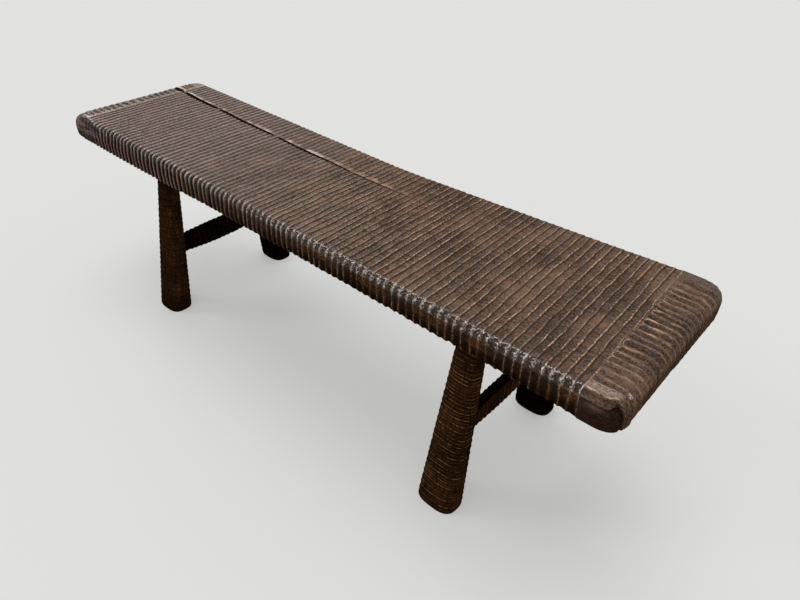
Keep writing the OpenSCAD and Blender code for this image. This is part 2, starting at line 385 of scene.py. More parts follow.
# Each notch under the near left corner, and each rib on a far corner
NOTCH_WIDTH = 7.5 * MM
RIB_ANGLE = np.radians(17.0)
# The crack's place a quarter of the way along, its lip's width, where it stops, and its whole reach
CRACK_PLACE = 98 * MM
CRACK_LIP = 2.2 * MM
CRACK_END = 200 * MM
CRACK_LENGTH = 0.92
# Where the crack is bridged, from the left end, and how wide each bridge is, in millimetres
BRIDGES = ((62, 6), (227, 7), (461, 9), (724, 8))


def far_edge(sizes, x):
    """Distance from the centre line to the far edge: the larger of two slopes, eased where they meet."""
    from_waist = x - sizes.waist_shift
    slope_end = SEAT_HIGH[0] - END_STRAIGHT
    left_slope = (sizes.far_left - sizes.waist) / (slope_end + sizes.waist_shift)
    right_slope = (SEAT_HIGH[1] - sizes.waist) / (slope_end - sizes.waist_shift)
    left = sizes.waist - from_waist * left_slope
    right = sizes.waist + from_waist * right_slope
    easing = 1.6 * MM
    edge = (left + right) / 2 + np.sqrt(np.square((left - right) / 2) + easing ** 2)
    return np.minimum(edge, np.where(x < 0.0, sizes.far_left, SEAT_HIGH[1]))


def edge_profile(sizes, arc, upper_power, lower_power):
    """How far out and how high the seat's rounded edge lies at an arc length.

    The arc starts at the corner block's inner side on the top and runs level, round the upper edge, down the
    side and round the lower edge. Both edges are quarters of a superellipse: a power of 2 makes them round.
    """
    level = sizes.corner_size - sizes.top_radius
    upper_end = level + sizes.top_radius * np.pi / 2
    side = SEAT_THICKNESS - sizes.top_radius - sizes.bottom_radius
    upper = np.clip((arc - level) / sizes.top_radius, 0.0, np.pi / 2)
    lower = np.clip((arc - upper_end - side) / sizes.bottom_radius, 0.0, np.pi / 2)
    upper_stretch = squared(upper, upper_power)
    lower_stretch = squared(lower, lower_power)
    out = np.minimum(arc, level) + sizes.top_radius * np.sin(upper) * upper_stretch
    out = out - sizes.bottom_radius * (1.0 - np.cos(lower) * lower_stretch)
    down = sizes.top_radius * (1.0 - np.cos(upper) * upper_stretch) + np.clip(arc - upper_end, 0.0, side)
    down = down + sizes.bottom_radius * np.sin(lower) * lower_stretch
    return out, SEAT_HIGH[2] - down


def profile_length(sizes):
    """The whole arc length of the edge profile: two quarter turns, the level stretch and the side."""
    quarter_turns = (sizes.top_radius + sizes.bottom_radius) * np.pi / 2
    level = sizes.corner_size - sizes.top_radius
    side = SEAT_THICKNESS - sizes.top_radius - sizes.bottom_radius
    return quarter_turns + (level + side)


def flute_starts(sizes, row_place):
    """Where each ridge across the seat lies, row by row.

    An even pitch is bunched by a wave and a random shift for each ridge. All ridges wander together, and each
    slowly and quickly by itself. They lean over at the right, and a little down the near side at the left.
    """
    ridge = np.arange(sizes.flutes + 1)
    share = ridge / sizes.flutes
    even = sizes.first_flute + (sizes.last_flute - sizes.first_flute) * share
    bunching = 7 * MM * np.sin(np.pi * share) * np.sin(2.6 * np.pi * share + 2.2)
    start = even - bunching + 1.1 * MM * per_line(11, ridge)
    start[0], start[-1] = sizes.first_flute, sizes.last_flute
    start = start[None, :]
    place = row_place[:, None]
    line = ridge[None, :]
    wander = 0.80 * drift(12, 0, place, 140 * MM)
    for seed, size, spacing in ((13, 0.80, 85), (14, 0.60, 24), (15, 0.38, 7)):
        wander = wander + size * drift(seed, line, place, spacing * MM)
    lean = -RIDGE_LEAN * place * rise(start, 50, 500)
    down_near_side = np.clip(row_place[LEAN_ROW] - place, 0.0, 60 * MM)
    near_lean = 0.05 * down_near_side * rise(-start, 50, 300)
    return start + sizes.wander * wander + lean + near_lean


def crack_route(x):
    """Where the drying crack runs, from the centre line: a slope, a square term and a small wave."""
    from_left = x - SEAT_LOW[0]
    return 112 * MM - 52 * MM * from_left + 24 * MM * from_left ** 2 + 0.8 * MM * np.sin(from_left * 31.0)


def crack_opening(x):
    """How wide open the crack is, from 0 to 1: it narrows to the right and is bridged in four places."""
    from_left = x - SEAT_LOW[0]
    opening = np.clip(1.0 - from_left / CRACK_LENGTH, 0.0, 1.0) ** 0.8
    for bridge, width in BRIDGES:
        opening = opening * rise(np.abs(from_left - bridge * MM), 0.5 * width, width)
    return opening


class SeatNet:
    """The net of vertices over the seat's top, edges and ends, and what is carved at each."""

    def __init__(self, sizes):
        self.sizes = sizes
        self.reach_x = SEAT_HIGH[0] - sizes.corner_size
        self.near = SEAT_LOW[1] + sizes.corner_size
        self.far = SEAT_HIGH[1] - sizes.corner_size
        self.length = profile_length(sizes)
        self.lay_rows()
        self.lay_columns()
        self.fit_rows_to_crack()
        self.place()

    def lay_rows(self):
        """Rows round the near edge, over the top by the steps of the end flutes, and round the far edge."""
        edge = np.linspace(0.0, self.length, PROFILE_STEPS + 1)
        top = np.linspace(self.near, self.far, self.sizes.end_flutes * ROW_STEPS + 1)
        self.row_place = np.concatenate([self.near - edge[:0:-1], top, self.far + edge[1:]])
        self.first_top = PROFILE_STEPS
        self.last_top = PROFILE_STEPS + len(top) - 1
        self.row = np.arange(len(self.row_place))[:, None]
        top_row = np.clip(self.row - self.first_top, 0, self.sizes.end_flutes * ROW_STEPS)
        self.end_flute = np.minimum(top_row // ROW_STEPS, self.sizes.end_flutes - 1)
        self.end_share = top_row / ROW_STEPS - self.end_flute

    def end_ridges(self, seed):
        """Uneven places of the end flutes' ridges, from the near to the far corner's centre."""
        count = self.sizes.end_flutes
        width = 1.0 + 0.28 * np.random.default_rng(seed).uniform(-1.0, 1.0, count)
        return self.near + (self.far - self.near) * np.append(0.0, np.cumsum(width)) / width.sum()

    @staticmethod
    def between(start, end, steps):
        """Columns from a start line up to, but not on, an end line."""
        share = np.arange(steps)[None, :] / steps
        return start * (1.0 - share) + end * share

    def lay_columns(self):
        """Columns round the left end, over its band, along each ridge and flute, and on to the right end."""
        sizes = self.sizes
        rows = len(self.row_place)
        ridge = flute_starts(sizes, self.row_place)
        step = np.arange(sizes.flutes * COLUMN_STEPS + 1)
        flute = np.minimum(step // COLUMN_STEPS, sizes.flutes - 1)
        share = step / COLUMN_STEPS - flute
        field = ridge[:, flute] * (1.0 - share) + ridge[:, flute + 1] * share

        bow = np.square(2.0 * self.end_share - 1.0)
        jitter = drift(21, 0, self.end_flute, 1.0)
        self.left_start = np.minimum(LEFT_BAND - (4.5 * bow + 1.0 * jitter) * MM, field[:, :1] - 0.8 * MM)
        self.right_start = np.maximum(RIGHT_BAND + (4.5 * bow + 1.2 * jitter) * MM, field[:, -1:] + 0.8 * MM)

        edge = np.linspace(0.0, self.length, PROFILE_STEPS + 3)[1:]
        end = np.full((rows, 1), self.reach_x)
        before = [
            -end - edge[::-1], self.between(-end, self.left_start, 2),
            self.between(self.left_start, field[:, :1], 1)]
        after = [
            self.between(field[:, -1:], self.right_start, 2)[:, 1:], self.between(self.right_start, end, 6),
            end, end + edge]
        self.across = np.concatenate([*before, field, *after], axis=1)
        columns = self.across.shape[1]
        first = sum(part.shape[1] for part in before)
        in_field = slice(first, first + len(step))
        self.flute = np.full((1, columns), -1)
        self.flute[0, in_field] = flute
        self.share = np.zeros((1, columns))
        self.share[0, in_field] = share
        self.pitch = np.full((rows, columns), FLUTE_PITCH)
        self.pitch[:, in_field] = ridge[:, flute + 1] - ridge[:, flute]

    def fit_rows_to_crack(self):
        """Rows over the top follow the end flutes' ridges, and draw together along the crack."""
        x = self.across
        left, right = self.end_ridges(22), self.end_ridges(23)
        flute, share = self.end_flute, self.end_share
        from_left = left[flute] * (1.0 - share) + left[flute + 1] * share
        from_right = right[flute] * (1.0 - share) + right[flute + 1] * share
        toward_right = rise(x, -620, 1240)
        along = from_left * (1.0 - toward_right) + from_right * toward_right
        at_end = rise(np.abs(x + 8 * MM), 640, 30)
        sway = drift(24, flute, x, 22 * MM) * (1.0 - share) + drift(24, flute + 1, x, 22 * MM) * share
        along = along + 1.3 * MM * sway * at_end

        bottom, top = self.first_top, self.last_top
        route = crack_route(x[bottom])
        half = self.sizes.crack_width / 2 * np.maximum(crack_opening(x[bottom]), 0.3)
        lip = half + CRACK_LIP
        quarter_way = along[bottom:top + 1, x.shape[1] // 4]
        self.crack_row = bottom + int(np.argmin(np.abs(quarter_way - CRACK_PLACE)))
        low, high = self.crack_row - 2, self.crack_row + 2
        drawn = along.copy()
        drawn[low:high + 1] = [route - lip, route - half, route, route + half, route + lip]
        stretch_low = (drawn[low] - self.near) / (along[low] - self.near)
        stretch_high = (self.far - drawn[high]) / (self.far - along[high])
        drawn[bottom:low] = self.near + (along[bottom:low] - self.near) * stretch_low
        drawn[high + 1:top + 1] = self.far - (self.far - along[high + 1:top + 1]) * stretch_high
        along = along + (drawn - along) * fall(x[bottom], 210, 160)
        self.along = np.broadcast_to(self.row_place[:, None], x.shape).copy()
        self.along[bottom:top + 1] = along[bottom:top + 1]

    def place(self):
        """Lays the net on the rounded slab, before anything is carved.

        Beyond the corner block's centre a vertex lies out along the edge profile, at a turn from 0 on an end
        to a quarter circle on a long side. A superellipse squares each corner as seen from above.
        """
        sizes = self.sizes
        x, y = self.across, self.along
        self.left, self.right = x < 0.0, x > 0.0
        self.near_half = y < 0.0
        self.beyond_x = np.maximum(np.abs(x) - self.reach_x, 0.0)
        self.beyond_y = np.maximum(np.maximum(self.near - y, y - self.far), 0.0)
        self.in_corner = (self.beyond_x > 0.0) & (self.beyond_y > 0.0)
        self.arc = np.maximum(self.beyond_x, self.beyond_y)
        larger = np.maximum(self.arc, 1e-9)
        self.turn = np.where(
            self.beyond_x >= self.beyond_y,
            np.pi / 4 * self.beyond_y / larger,
            np.pi / 2 - np.pi / 4 * self.beyond_x / larger)
        out, height = edge_profile(sizes, self.arc, *self.edge_powers())
        near_power = np.where(self.left, sizes.near_left_squareness, sizes.near_right_squareness)
        far_power = np.where(self.left, sizes.far_left_squareness, sizes.far_right_squareness)
        out = out * squared(self.turn, np.where(self.near_half, near_power, far_power))
        bulge = 3.4 * MM * rise(-x, 150, 400) * rise(self.arc, 44, 18) * self.near_half
        outward_x = out * np.cos(self.turn) * (self.beyond_x > 0.0)
        outward_y = (out + bulge) * np.sin(self.turn) * (self.beyond_y > 0.0)
        base_x = np.clip(x, -self.reach_x, self.reach_x) + np.sign(x) * outward_x
        base_y = np.clip(y, self.near, self.far) + np.where(self.near_half, -1.0, 1.0) * outward_y
        self.point = np.stack([base_x, base_y, height], axis=-1)
        self.normal = self.facing(self.point)

    def edge_powers(self):
        """How square the upper and lower edges are: more along the near side, most at its lower left."""
        x, left, near = self.across, self.left, self.near_half
        from_end = eased(self.turn / np.radians(30.0))
        on_near_side = eased((self.turn - np.radians(35.0)) / np.radians(45.0)) * near
        on_end_face = (1.0 - from_end) * (self.beyond_x > 0.0)
        upper = 2.0 + 1.6 * on_near_side * (1.0 - left * rise(self.beyond_x, 0, 18)) + left * on_end_face
        lower = 2.0 + 6.0 * from_end * near * rise(-x, 150, 450)
        lower = lower - 4.0 * from_end * near * left * rise(self.beyond_x, 0, 20)
        lower = lower + 2.2 * self.right * on_end_face
        lower = lower + 1.5 * near * (self.beyond_y > 0.0) * rise(x, 560, 90)
        return upper, lower

    @staticmethod
    def facing(point):
        """The direction that the net faces at each vertex: the cross product of its two tangents."""
        normal = np.cross(np.gradient(point, axis=1), np.gradient(point, axis=0))
        return normal / np.linalg.norm(normal, axis=-1, keepdims=True)

    def narrowed(self, point):
        """Draws the far edge in to its waist by scaling the width at each place along the seat."""
        scale = (far_edge(self.sizes, point[..., 0]) - SEAT_LOW[1]) / (SEAT_HIGH[1] - SEAT_LOW[1])
        moved = point.copy()
        moved[..., 1] = SEAT_LOW[1] + (point[..., 1] - SEAT_LOW[1]) * scale
        return moved

    def carve(self):
        """Cuts the net, and works out the values that the finish reads and the ridge line of each vertex."""
        self.find_flutes()
        self.find_near_right()
        self.find_near_left()
        self.find_crack()
        vertices = self.narrowed(self.point) - self.normal * self.depth()[..., None]
        values = {
            "ridge_distance": self.ridge_distance(),
            "ridge_strength": self.ridge_strength(),
            "painted_shade": self.painted_shade(),
            "warmth": self.warmth(),
            "polish": self.polish(),
            "stain": self.stain(),
            "wear_and_sheen": self.wear_and_sheen(),
        }
        values = {name: np.clip(value, 0.0, 1.0) for name, value in values.items()}
        return vertices, values, self.ridge_line()

    def find_flutes(self):
        """The masks for the flutes across the seat and for the short ones at its ends."""
        x = self.across
        self.is_field = self.flute >= 0
        self.field_flute = np.maximum(self.flute, 0)
        self.slant = rise(x, -520, 800)
        self.right_half = rise(x, -430, 700)
        self.left_half = 1.0 - self.right_half
        self.near_edge = (self.along < self.near) & (self.beyond_x <= 0.0)
        self.over_edge = self.near_edge * rise(self.arc, 24, 14)
        self.inside = np.abs(x) - np.abs(np.where(self.right, self.right_start, self.left_start))
        self.on_top = self.beyond_y <= 0.0
        self.near_right = self.near_half & self.right & (self.beyond_y > 0.0)
        self.near_left = self.near_half & self.left & (self.beyond_y > 0.0)
        self.slide = self.beyond_y - 0.33 * np.maximum(self.beyond_x - 28 * MM, 0.0)
        self.edge_step = self.length / PROFILE_STEPS
        lobe_ends = np.arange(4) * LOBE_ROWS * self.edge_step
        lobe = np.interp(self.slide, lobe_ends, np.arange(4.0))
        over_shoulder = self.near_right & (lobe < 3.0) & (self.slide > 0.0)
        self.cut_share = np.where(over_shoulder, lobe - np.floor(lobe), self.end_share)
        cut = np.where(over_shoulder, self.sizes.end_flutes + np.floor(lobe), self.end_flute)
        self.cut = cut.astype(int)
        self.fluted = self.on_top | over_shoulder

    def find_near_right(self):
        """The hollow cut into the near right corner below two lobes, painted light on the first lobe and
        painted shade on the second, and a patch in the hollow where its painted shade is lighter and warmer.
        """
        corner_place = self.reach_x + self.sizes.corner_size * (np.pi / 2 - self.turn)
        self.face_place = np.where(self.in_corner, corner_place, np.abs(self.point[..., 0]))
        self.recessed = self.near_right & ~self.is_field
        self.into_recess = self.slide - (43.5 - 12.0 * rise(self.beyond_x, 24, 14)) * MM
        self.hollow = rise(self.into_recess, 0, 3.5) * rise(self.face_place, 664, 6) * self.recessed
        along_patch = (self.face_place - 688 * MM) / (14 * MM)
        down_patch = (self.slide - 53 * MM) / (4 * MM)
        self.lighter_patch = np.exp(-np.square(along_patch) - np.square(down_patch))
        first_lobe = np.clip(self.slide / self.edge_step / LOBE_ROWS - 1.0, 0.0, 1.0)
        self.first_lobe = self.recessed * scoop(first_lobe) * fall(self.beyond_x, 24, 10)
        self.second_lobe = self.recessed * rise(self.slide, 29, 2) * fall(self.slide, 38, 3)

    def find_near_left(self):
        """The smooth near left corner: plain below a brow line, which carries a painted highlight, with
        scratches, and notches at its foot.
        """
        x = self.across
        self.brow_arc = np.clip(22 * MM + 0.157 * (x + 700 * MM), 20 * MM, 41 * MM)
        smooth = self.near_edge * rise(-x - 0.7 * (self.arc - 30 * MM), 592, 12)
        smooth = smooth * rise(self.arc - self.brow_arc, 0, 4)
        self.smooth_end = np.maximum(smooth, self.near_left & ~self.is_field)
        low = rise(self.arc, 62, 5) * (self.face_place > 636 * MM) * (self.turn > 0.5)
        self.notched = self.near_left * low
        notch = self.face_place / NOTCH_WIDTH
        self.notches = scoop(notch - np.floor(notch)) * self.notched
        self.scratches = patches(40, self.point[..., 0] * 0.12, self.arc, 3.2 * MM)
        self.brow = np.abs(self.arc - self.brow_arc)
        self.browed = self.near_left & (self.face_place > 590 * MM) & (self.face_place < 714 * MM)

    def find_crack(self):
        """How open the crack is along the seat, the painted shine on its lip, and what lies inside it, which
        gets painted shade.
        """
        x = self.across
        self.opening = crack_opening(x) * (x < CRACK_END)
        above = self.row - self.crack_row
        self.above_crack = above
        shine = ((above >= 2) & (above <= 3)) + 0.45 * (above == 4)
        shine = shine * np.clip(2.0 * self.opening, 0.0, 1.0)
        self.lip_shine = shine * np.clip(0.65 + 0.7 * drift(45, 0, x, 14 * MM), 0.0, 1.0)
        self.inside_crack = np.clip(3.0 * self.opening, 0.0, 1.0) * (np.abs(above) <= 1)

    def by_crack(self, low, high):
        """The rows from a low to a high one above the crack's own, as far as the crack is open there."""
        return ((self.above_crack >= low) & (self.above_crack <= high)) * self.opening

    def shoulder(self):
        """The near upper edge, which use has rubbed and where glints are painted: between two arcs, and less
        in the flutes at the left.
        """
        shoulder = rise(self.arc, 22, 8) * fall(self.arc, 42, 8)
        shoulder = shoulder * self.near_half * (self.beyond_y > 0.0) * (1.0 - self.smooth_end)
        shoulder = shoulder * (1.0 - self.recessed * rise(self.slide, 4, 6))
        return shoulder * (1.0 - 0.8 * scoop(self.share) ** 1.5 * self.is_field * self.left_half)

    def flute_depth(self):
        """The cut of the flutes across the seat, the short ones at its ends and the far corners' ribs."""
        sizes, x, y = self.sizes, self.across, self.along
        vary = 0.10 + 0.15 * self.slant
        uneven = 1.0 + vary * per_line(31, self.field_flute) + vary * drift(32, self.field_flute, y, 34 * MM)
        over_edge = self.over_edge
        shallow = 1.0 - 0.45 * self.slant * (1.0 - over_edge) + 0.35 * over_edge * (1.0 - self.slant)
        field = sizes.flute_depth * uneven * shallow * gouged(self.share, self.slant)
        field = field * (1.0 - 0.85 * self.smooth_end)
        end_uneven = 1.0 + 0.3 * per_line(33, self.cut) + 0.3 * drift(34, self.cut, x, 26 * MM)
        end_ramp = rise(self.inside, -1, 9) * (1.0 - 0.75 * rise(self.beyond_x, 36, 18))
        end = sizes.end_flute_depth * end_uneven * scoop(self.cut_share) * end_ramp * self.fluted
        rib = self.turn / RIB_ANGLE
        ribs = 0.9 * MM * scoop(rib - np.floor(rib)) * rise(self.arc, 16, 14)
        ribs = ribs * self.in_corner * (y > 0.0)
        rim_fade = 1.0 - 0.75 * rise(self.arc - self.length, -8, 8)
        return np.where(self.is_field, field, end + ribs) * rim_fade

    def depth(self):
        """How deep everything is cut: flutes, recess, notches, scratches, tool marks, grit and crack."""
        out_x, out_y = self.point[..., 0], self.point[..., 1]
        recess = fall(self.into_recess, 9, 14) * (1.0 - 0.5 * rise(self.beyond_x, 34, 16))
        depth = self.flute_depth() + 3.4 * MM * self.hollow * recess + 1.6 * MM * self.notches
        depth = depth + 0.45 * MM * (0.5 + 0.5 * self.scratches) * self.smooth_end
        unevenness = 0.5 + 0.5 * patches(35, out_x, out_y + self.arc, 60 * MM)
        depth = depth + 0.8 * MM * unevenness * (1.0 - 0.7 * self.near_left * (self.arc > 60 * MM))
        knobs = 0.5 + 0.5 * patches(43, out_x, self.arc, 19 * MM)
        knobby = rise(self.arc, 66, 14) * self.near_half * self.slant * (1.0 - 0.8 * self.recessed)
        depth = depth + 1.4 * MM * knobs * knobby
        grit = np.random.default_rng(44).uniform(0.0, 1.0, self.across.shape)
        depth = depth + (0.10 + 0.30 * self.shoulder()) * MM * grit
        depth = depth + self.sizes.crack_depth * self.by_crack(0, 0) ** 0.6 + 0.3 * MM * self.by_crack(-2, -1)
        return depth * (1.0 - 0.92 * self.by_crack(1, 2))

    def ridge_distance(self):
        """How far a vertex lies from the nearest ridge that may show a line of bare wood."""
        x, slide, inside = self.across, self.slide, self.inside
        field = np.minimum(self.share, 1.0 - self.share) * self.pitch * (0.55 + 0.45 * self.right_half)
        end = np.minimum(self.cut_share, 1.0 - self.cut_share) * FLUTE_PITCH * (0.6 + 0.4 * self.right_half)
        middle = np.abs(self.cut_share - 0.5) * FLUTE_PITCH + 0.35 * MM
        end = np.where(self.beyond_x > 34 * MM, np.minimum(end, middle), end)
        on_band = (self.row % 2 == 1) * self.right * (self.beyond_x < 30 * MM)
        stroke = drift(39, self.row, x, 13 * MM) * on_band
        end = np.minimum(end, 0.8 * MM + (1.0 - eased((stroke - 0.1) / 0.4)) * 3.7 * MM)
        end = np.where(self.fluted, end, NO_RIDGE)
        end = np.where((inside < 9 * MM) & self.on_top, np.minimum(end, np.abs(inside)), end)
        end = np.where(inside < -1 * MM, NO_RIDGE, end)
        distance = np.where(self.is_field, field, end)
        to_upper_lip = np.abs(slide - 2 * LOBE_ROWS * self.edge_step)
        to_lower_lip = np.abs(slide - 14.5 * self.edge_step) + 8 * MM * (self.hollow > 0.2)
        lip = np.minimum(to_upper_lip, to_lower_lip)
        distance = np.where(self.recessed, np.minimum(distance, lip), distance)
        distance = np.where(self.near_left & (self.smooth_end > 0.3), NO_RIDGE, distance)
        distance = np.where(self.browed, np.minimum(distance, 0.8 * self.brow), distance)
        distance = np.where(self.inside_crack > 0.3, NO_RIDGE, distance)
        return np.where(self.lip_shine > 0.1, 0.1 * MM, distance)

    def ridge_strength(self):
        """How strongly the line on a ridge shows: more to the right, and rubbed away here and there."""
        x = self.across
        spells = 0.68 + 0.32 * drift(36, self.field_flute, self.along, 45 * MM)
        field = (0.12 + 0.88 * self.right_half) * spells
        field = field * (1.0 - 0.2 * self.near_edge * self.right_half)
        field = field + 0.45 * self.over_edge * self.left_half * rise(x, -750, 500)
        end = (0.55 - 0.30 * rise(self.inside, 12, 30)) * self.right + 0.20 * self.left
        end = end * (1.0 + 0.6 * drift(37, self.cut, x, 14 * MM))
        strength = np.where(self.is_field, field, end)
        strength = np.where(self.recessed & (self.slide > 12 * MM), 0.75, strength)
        strength = np.where(self.browed, 0.9, strength)
        return np.maximum(strength, self.lip_shine)

    def painted_shade(self):
        """Painted shade: how much light a recess or a side turned from the light keeps out: low on the sides,
        in the hollow, the notches and the crack.
        """
        lower = rise(self.arc, 42, 14)
        on_side = (0.45 + 0.40 * rise(self.arc, 54, 22)) * lower
        on_side = on_side * (1.0 - 0.70 * rise(-self.across, 50, 350) * (1.0 - self.notched))
        dark = np.where(self.beyond_y > self.beyond_x, on_side, 0.30 * lower)
        dark = np.maximum(dark * (1.0 - self.hollow), (0.90 - 0.85 * self.lighter_patch) * self.hollow)
        between_ribs = self.over_edge * self.left_half * scoop(self.share) ** 1.5 * self.is_field
        past_lobes = self.recessed * (self.beyond_x > 35 * MM) * rise(self.slide, 24, 6)
        for part in (
            0.95 * self.inside_crack, 0.95 * self.notches, 0.95 * between_ribs, 0.45 * self.second_lobe,
            0.20 * past_lobes,
        ):
            dark = np.maximum(dark, part)
        return dark

    def warmth(self):
        """Where the near face has lost its stain, and the patch in the hollow."""
        rusted = 0.55 + 0.45 * patches(38, self.across, self.arc, 26 * MM)
        warm = rise(self.arc, 38, 8) * fall(self.arc, 54, 26) * (1.0 - self.hollow)
        warm = warm * self.near_half * rise(self.across, -200, 350) * rusted
        return np.maximum(warm, 0.5 * self.lighter_patch * self.hollow)

    def polish(self):
        """Where use has polished the wood: on top, on the near shoulder, the lobes and the crack's lip; it
        also places painted glints.
        """
        polish = (0.62 - 0.22 * self.right_half) * fall(self.arc, 40, 12)
        polish = polish * (1.0 - 0.4 * (self.inside > 0.0) * self.right * ~self.is_field)
        polish = np.maximum(polish, self.shoulder())
        lobes = self.recessed * (self.slide > 12 * MM) * fall(self.beyond_x, 27, 8)
        polish = np.maximum(polish * (1.0 - self.recessed * (self.beyond_x > 35 * MM)), 0.6 * lobes)
        polish = np.maximum(polish, 0.35 * self.smooth_end) * (1.0 - self.hollow)
        polish = np.maximum(polish, self.browed * (self.brow < 4 * MM))
        polish = np.maximum(polish, self.lip_shine) * (1.0 - self.inside_crack)
        return polish * (1.0 - 0.5 * self.second_lobe)

    def stain(self):
        """Where stain has settled, with painted shade in the cuts: in the cuts, over the edge only in their
        middles, and in scratches.
        """
        end = stain_and_shade(self.cut_share, 0.0) * self.fluted * (0.25 + 0.65 * self.left)
        stain = np.where(self.is_field, stain_and_shade(self.share, self.slant), end)
        scratches = 0.8 * eased(0.5 + 0.9 * self.scratches)
        scratched = stain * (1.0 - self.smooth_end) + scratches * self.smooth_end
        stain = np.where(self.over_edge > 0.5, scoop(self.share) ** 1.5, scratched)
        return stain * (1.0 - self.smooth_end) + scratched * self.smooth_end

    def wear_and_sheen(self):
        """Where ridges are worn broad and pale, and where sheen and highlights are painted: at the left, over
        the edge, on the lobes and at the lip.
        """
        hollowed = scoop(self.share) ** 1.5
        field = self.left_half ** 2 + 0.15 * rise(self.across, 0, 500)
        field = field * (1.0 - 0.80 * stain_and_shade(self.share, 0.0))
        field = field + self.over_edge * (0.9 * self.left_half * (1.0 - hollowed) - field)
        end = np.where(self.left, 0.30, 0.22) * (1.0 - scoop(self.cut_share))
        spells = 0.85 + 0.15 * drift(46, self.field_flute, self.along, 40 * MM)
        wear_and_sheen = np.where(self.is_field, field, end) * spells * (1.0 - self.smooth_end)
        wear_and_sheen = np.maximum(wear_and_sheen, (0.60 * self.first_lobe + 0.25 * self.smooth_end) * (1.0 - self.hollow))
        wear_and_sheen = np.maximum(wear_and_sheen, 0.5 * self.notched * (1.0 - self.notches) * (self.arc < 74 * MM))
        return np.maximum(wear_and_sheen, self.lip_shine) * (1.0 - self.inside_crack)

    def ridge_line(self):
        """A number for each ridge, on the vertices along it, and 0 on all other vertices."""
        on_ridge = self.is_field & (self.share % 1.0 == 0.0)
        line = np.where(on_ridge, np.cumsum(on_ridge, axis=1), 0)
        on_top = (self.row >= self.first_top) & (self.row <= self.last_top)
        on_end_ridge = (self.end_share % 1.0 == 0.0) & on_top
        on_end_ridge = on_end_ridge & (self.inside > 3 * MM) & ~self.is_field
        return np.where(on_end_ridge, 1000 + self.row, line)

    def rim(self):
        """The outermost vertices of the net, once round, with their places along the corner centres' loop."""
        loop = border(np.arange(self.across.size).reshape(self.across.shape))
        x = np.clip(self.across, -self.reach_x, self.reach_x).ravel()[loop]
        y = np.clip(self.along, self.near, self.far).ravel()[loop]
        return loop, x, y


def loop_share(x, y, net):
    """How far round the corner centres' rectangle each point lies, from its near left corner."""
    width, height = 2.0 * net.reach_x, net.far - net.near
    share = np.where(
        y <= net.near, x + net.reach_x,
        np.where(x >= net.reach_x, width + y - net.near,
                 np.where(y >= net.far, width + height + net.reach_x - x,
                          2.0 * width + height + net.far - y)))
    return np.maximum.accumulate(share / (2.0 * (width + height))) + np.arange(len(x)) * 1e-9


def underside(net):
    """A level net under the seat, inside the rim, with shallow tool marks away from the legs."""
    x = np.linspace(-net.reach_x, net.reach_x, UNDER_COLUMNS)
    y = np.linspace(net.near, net.far, UNDER_ROWS)
    grid_y, grid_x = np.meshgrid(y, x, indexing="ij")
    point = net.narrowed(np.stack([grid_x, grid_y, np.full(grid_x.shape, SEAT_LOW[2])], axis=-1))
    leg_x = (LEG_LOW[0] + LEG_HIGH[0]) / 2
    clear = rise(np.abs(np.abs(point[..., 0]) - leg_x), 40, 30)
    mark = 0.5 + 0.5 * patches(41, grid_x, grid_y, 28 * MM)
    inner = (np.abs(grid_x) < net.reach_x) & (grid_y > net.near) & (grid_y < net.far)
    point[..., 2] += 1.2 * MM * mark * clear * inner
    return point, grid_x.ravel(), grid_y.ravel()


def make_seat(sizes, material):
    """The seat: the carved net over the top and edges, closed by the net under it."""
    net = SeatNet(sizes)
    top, values, line = net.carve()
    rows, columns = line.shape
    under, under_x, under_y = underside(net)
    first, count = rows * columns, UNDER_ROWS * UNDER_COLUMNS
    quads = np.concatenate([
        grid_quads(rows, columns), grid_quads(UNDER_ROWS, UNDER_COLUMNS, first)[:, ::-1]])
    rim, rim_x, rim_y = net.rim()
    inner = border(np.arange(count).reshape(UNDER_ROWS, UNDER_COLUMNS))
    triangles = stitch(
        rim, loop_share(rim_x, rim_y, net),
        first + inner, loop_share(under_x[inner], under_y[inner], net))[:, ::-1]
    vertices = np.concatenate([top.reshape(-1, 3), under.reshape(-1, 3)])
    # The underside gets painted shade.
    values = with_fill(values, {**PLAIN_VALUES, "painted_shade": 0.7}, count)
    line = np.append(line.ravel(), np.zeros(count, dtype=int))
    add_piece("seat_slab", "carved_seat", (quads, triangles), vertices, values, line, material)


# The legs

RING_STEPS = 6
ROUND_STEPS = 96
# No line shows below this height
SOLE_HEIGHT = 4 * MM
# How far down a leg the seat's shade reaches, in millimetres
SHADE_REACH = 70
# How high each row round a sole lies, in millimetres, and its share across the lowest ring
SOLE_ROWS = ((0.0, 0.0), (0.4, 0.03), (1.0, 0.07), (1.9, 0.13), (3.2, 0.22))


def cut_rows(count):
    """The rows along a leg or a stretcher: the cut that each lies in, and its share across that cut."""
    step = np.arange(count * RING_STEPS + 1)
    cut = np.minimum(step // RING_STEPS, count - 1)
    return cut, (step / RING_STEPS - cut)[:, None]


def unsteady(seed, ridge, angle, waves, wander, jitter):
    """How far each ridge wanders on its way round a piece, with one random shift for the whole ridge."""
    return wander * around(seed, ridge, angle, waves) + jitter * per_line(seed + 1, ridge)


def settled(ridge, last, width):
    """1 at a ridge well inside a piece, easing to 0 at its first and last ridge over a width in ridges."""
    return eased(ridge / width) * eased((last - ridge) / width)


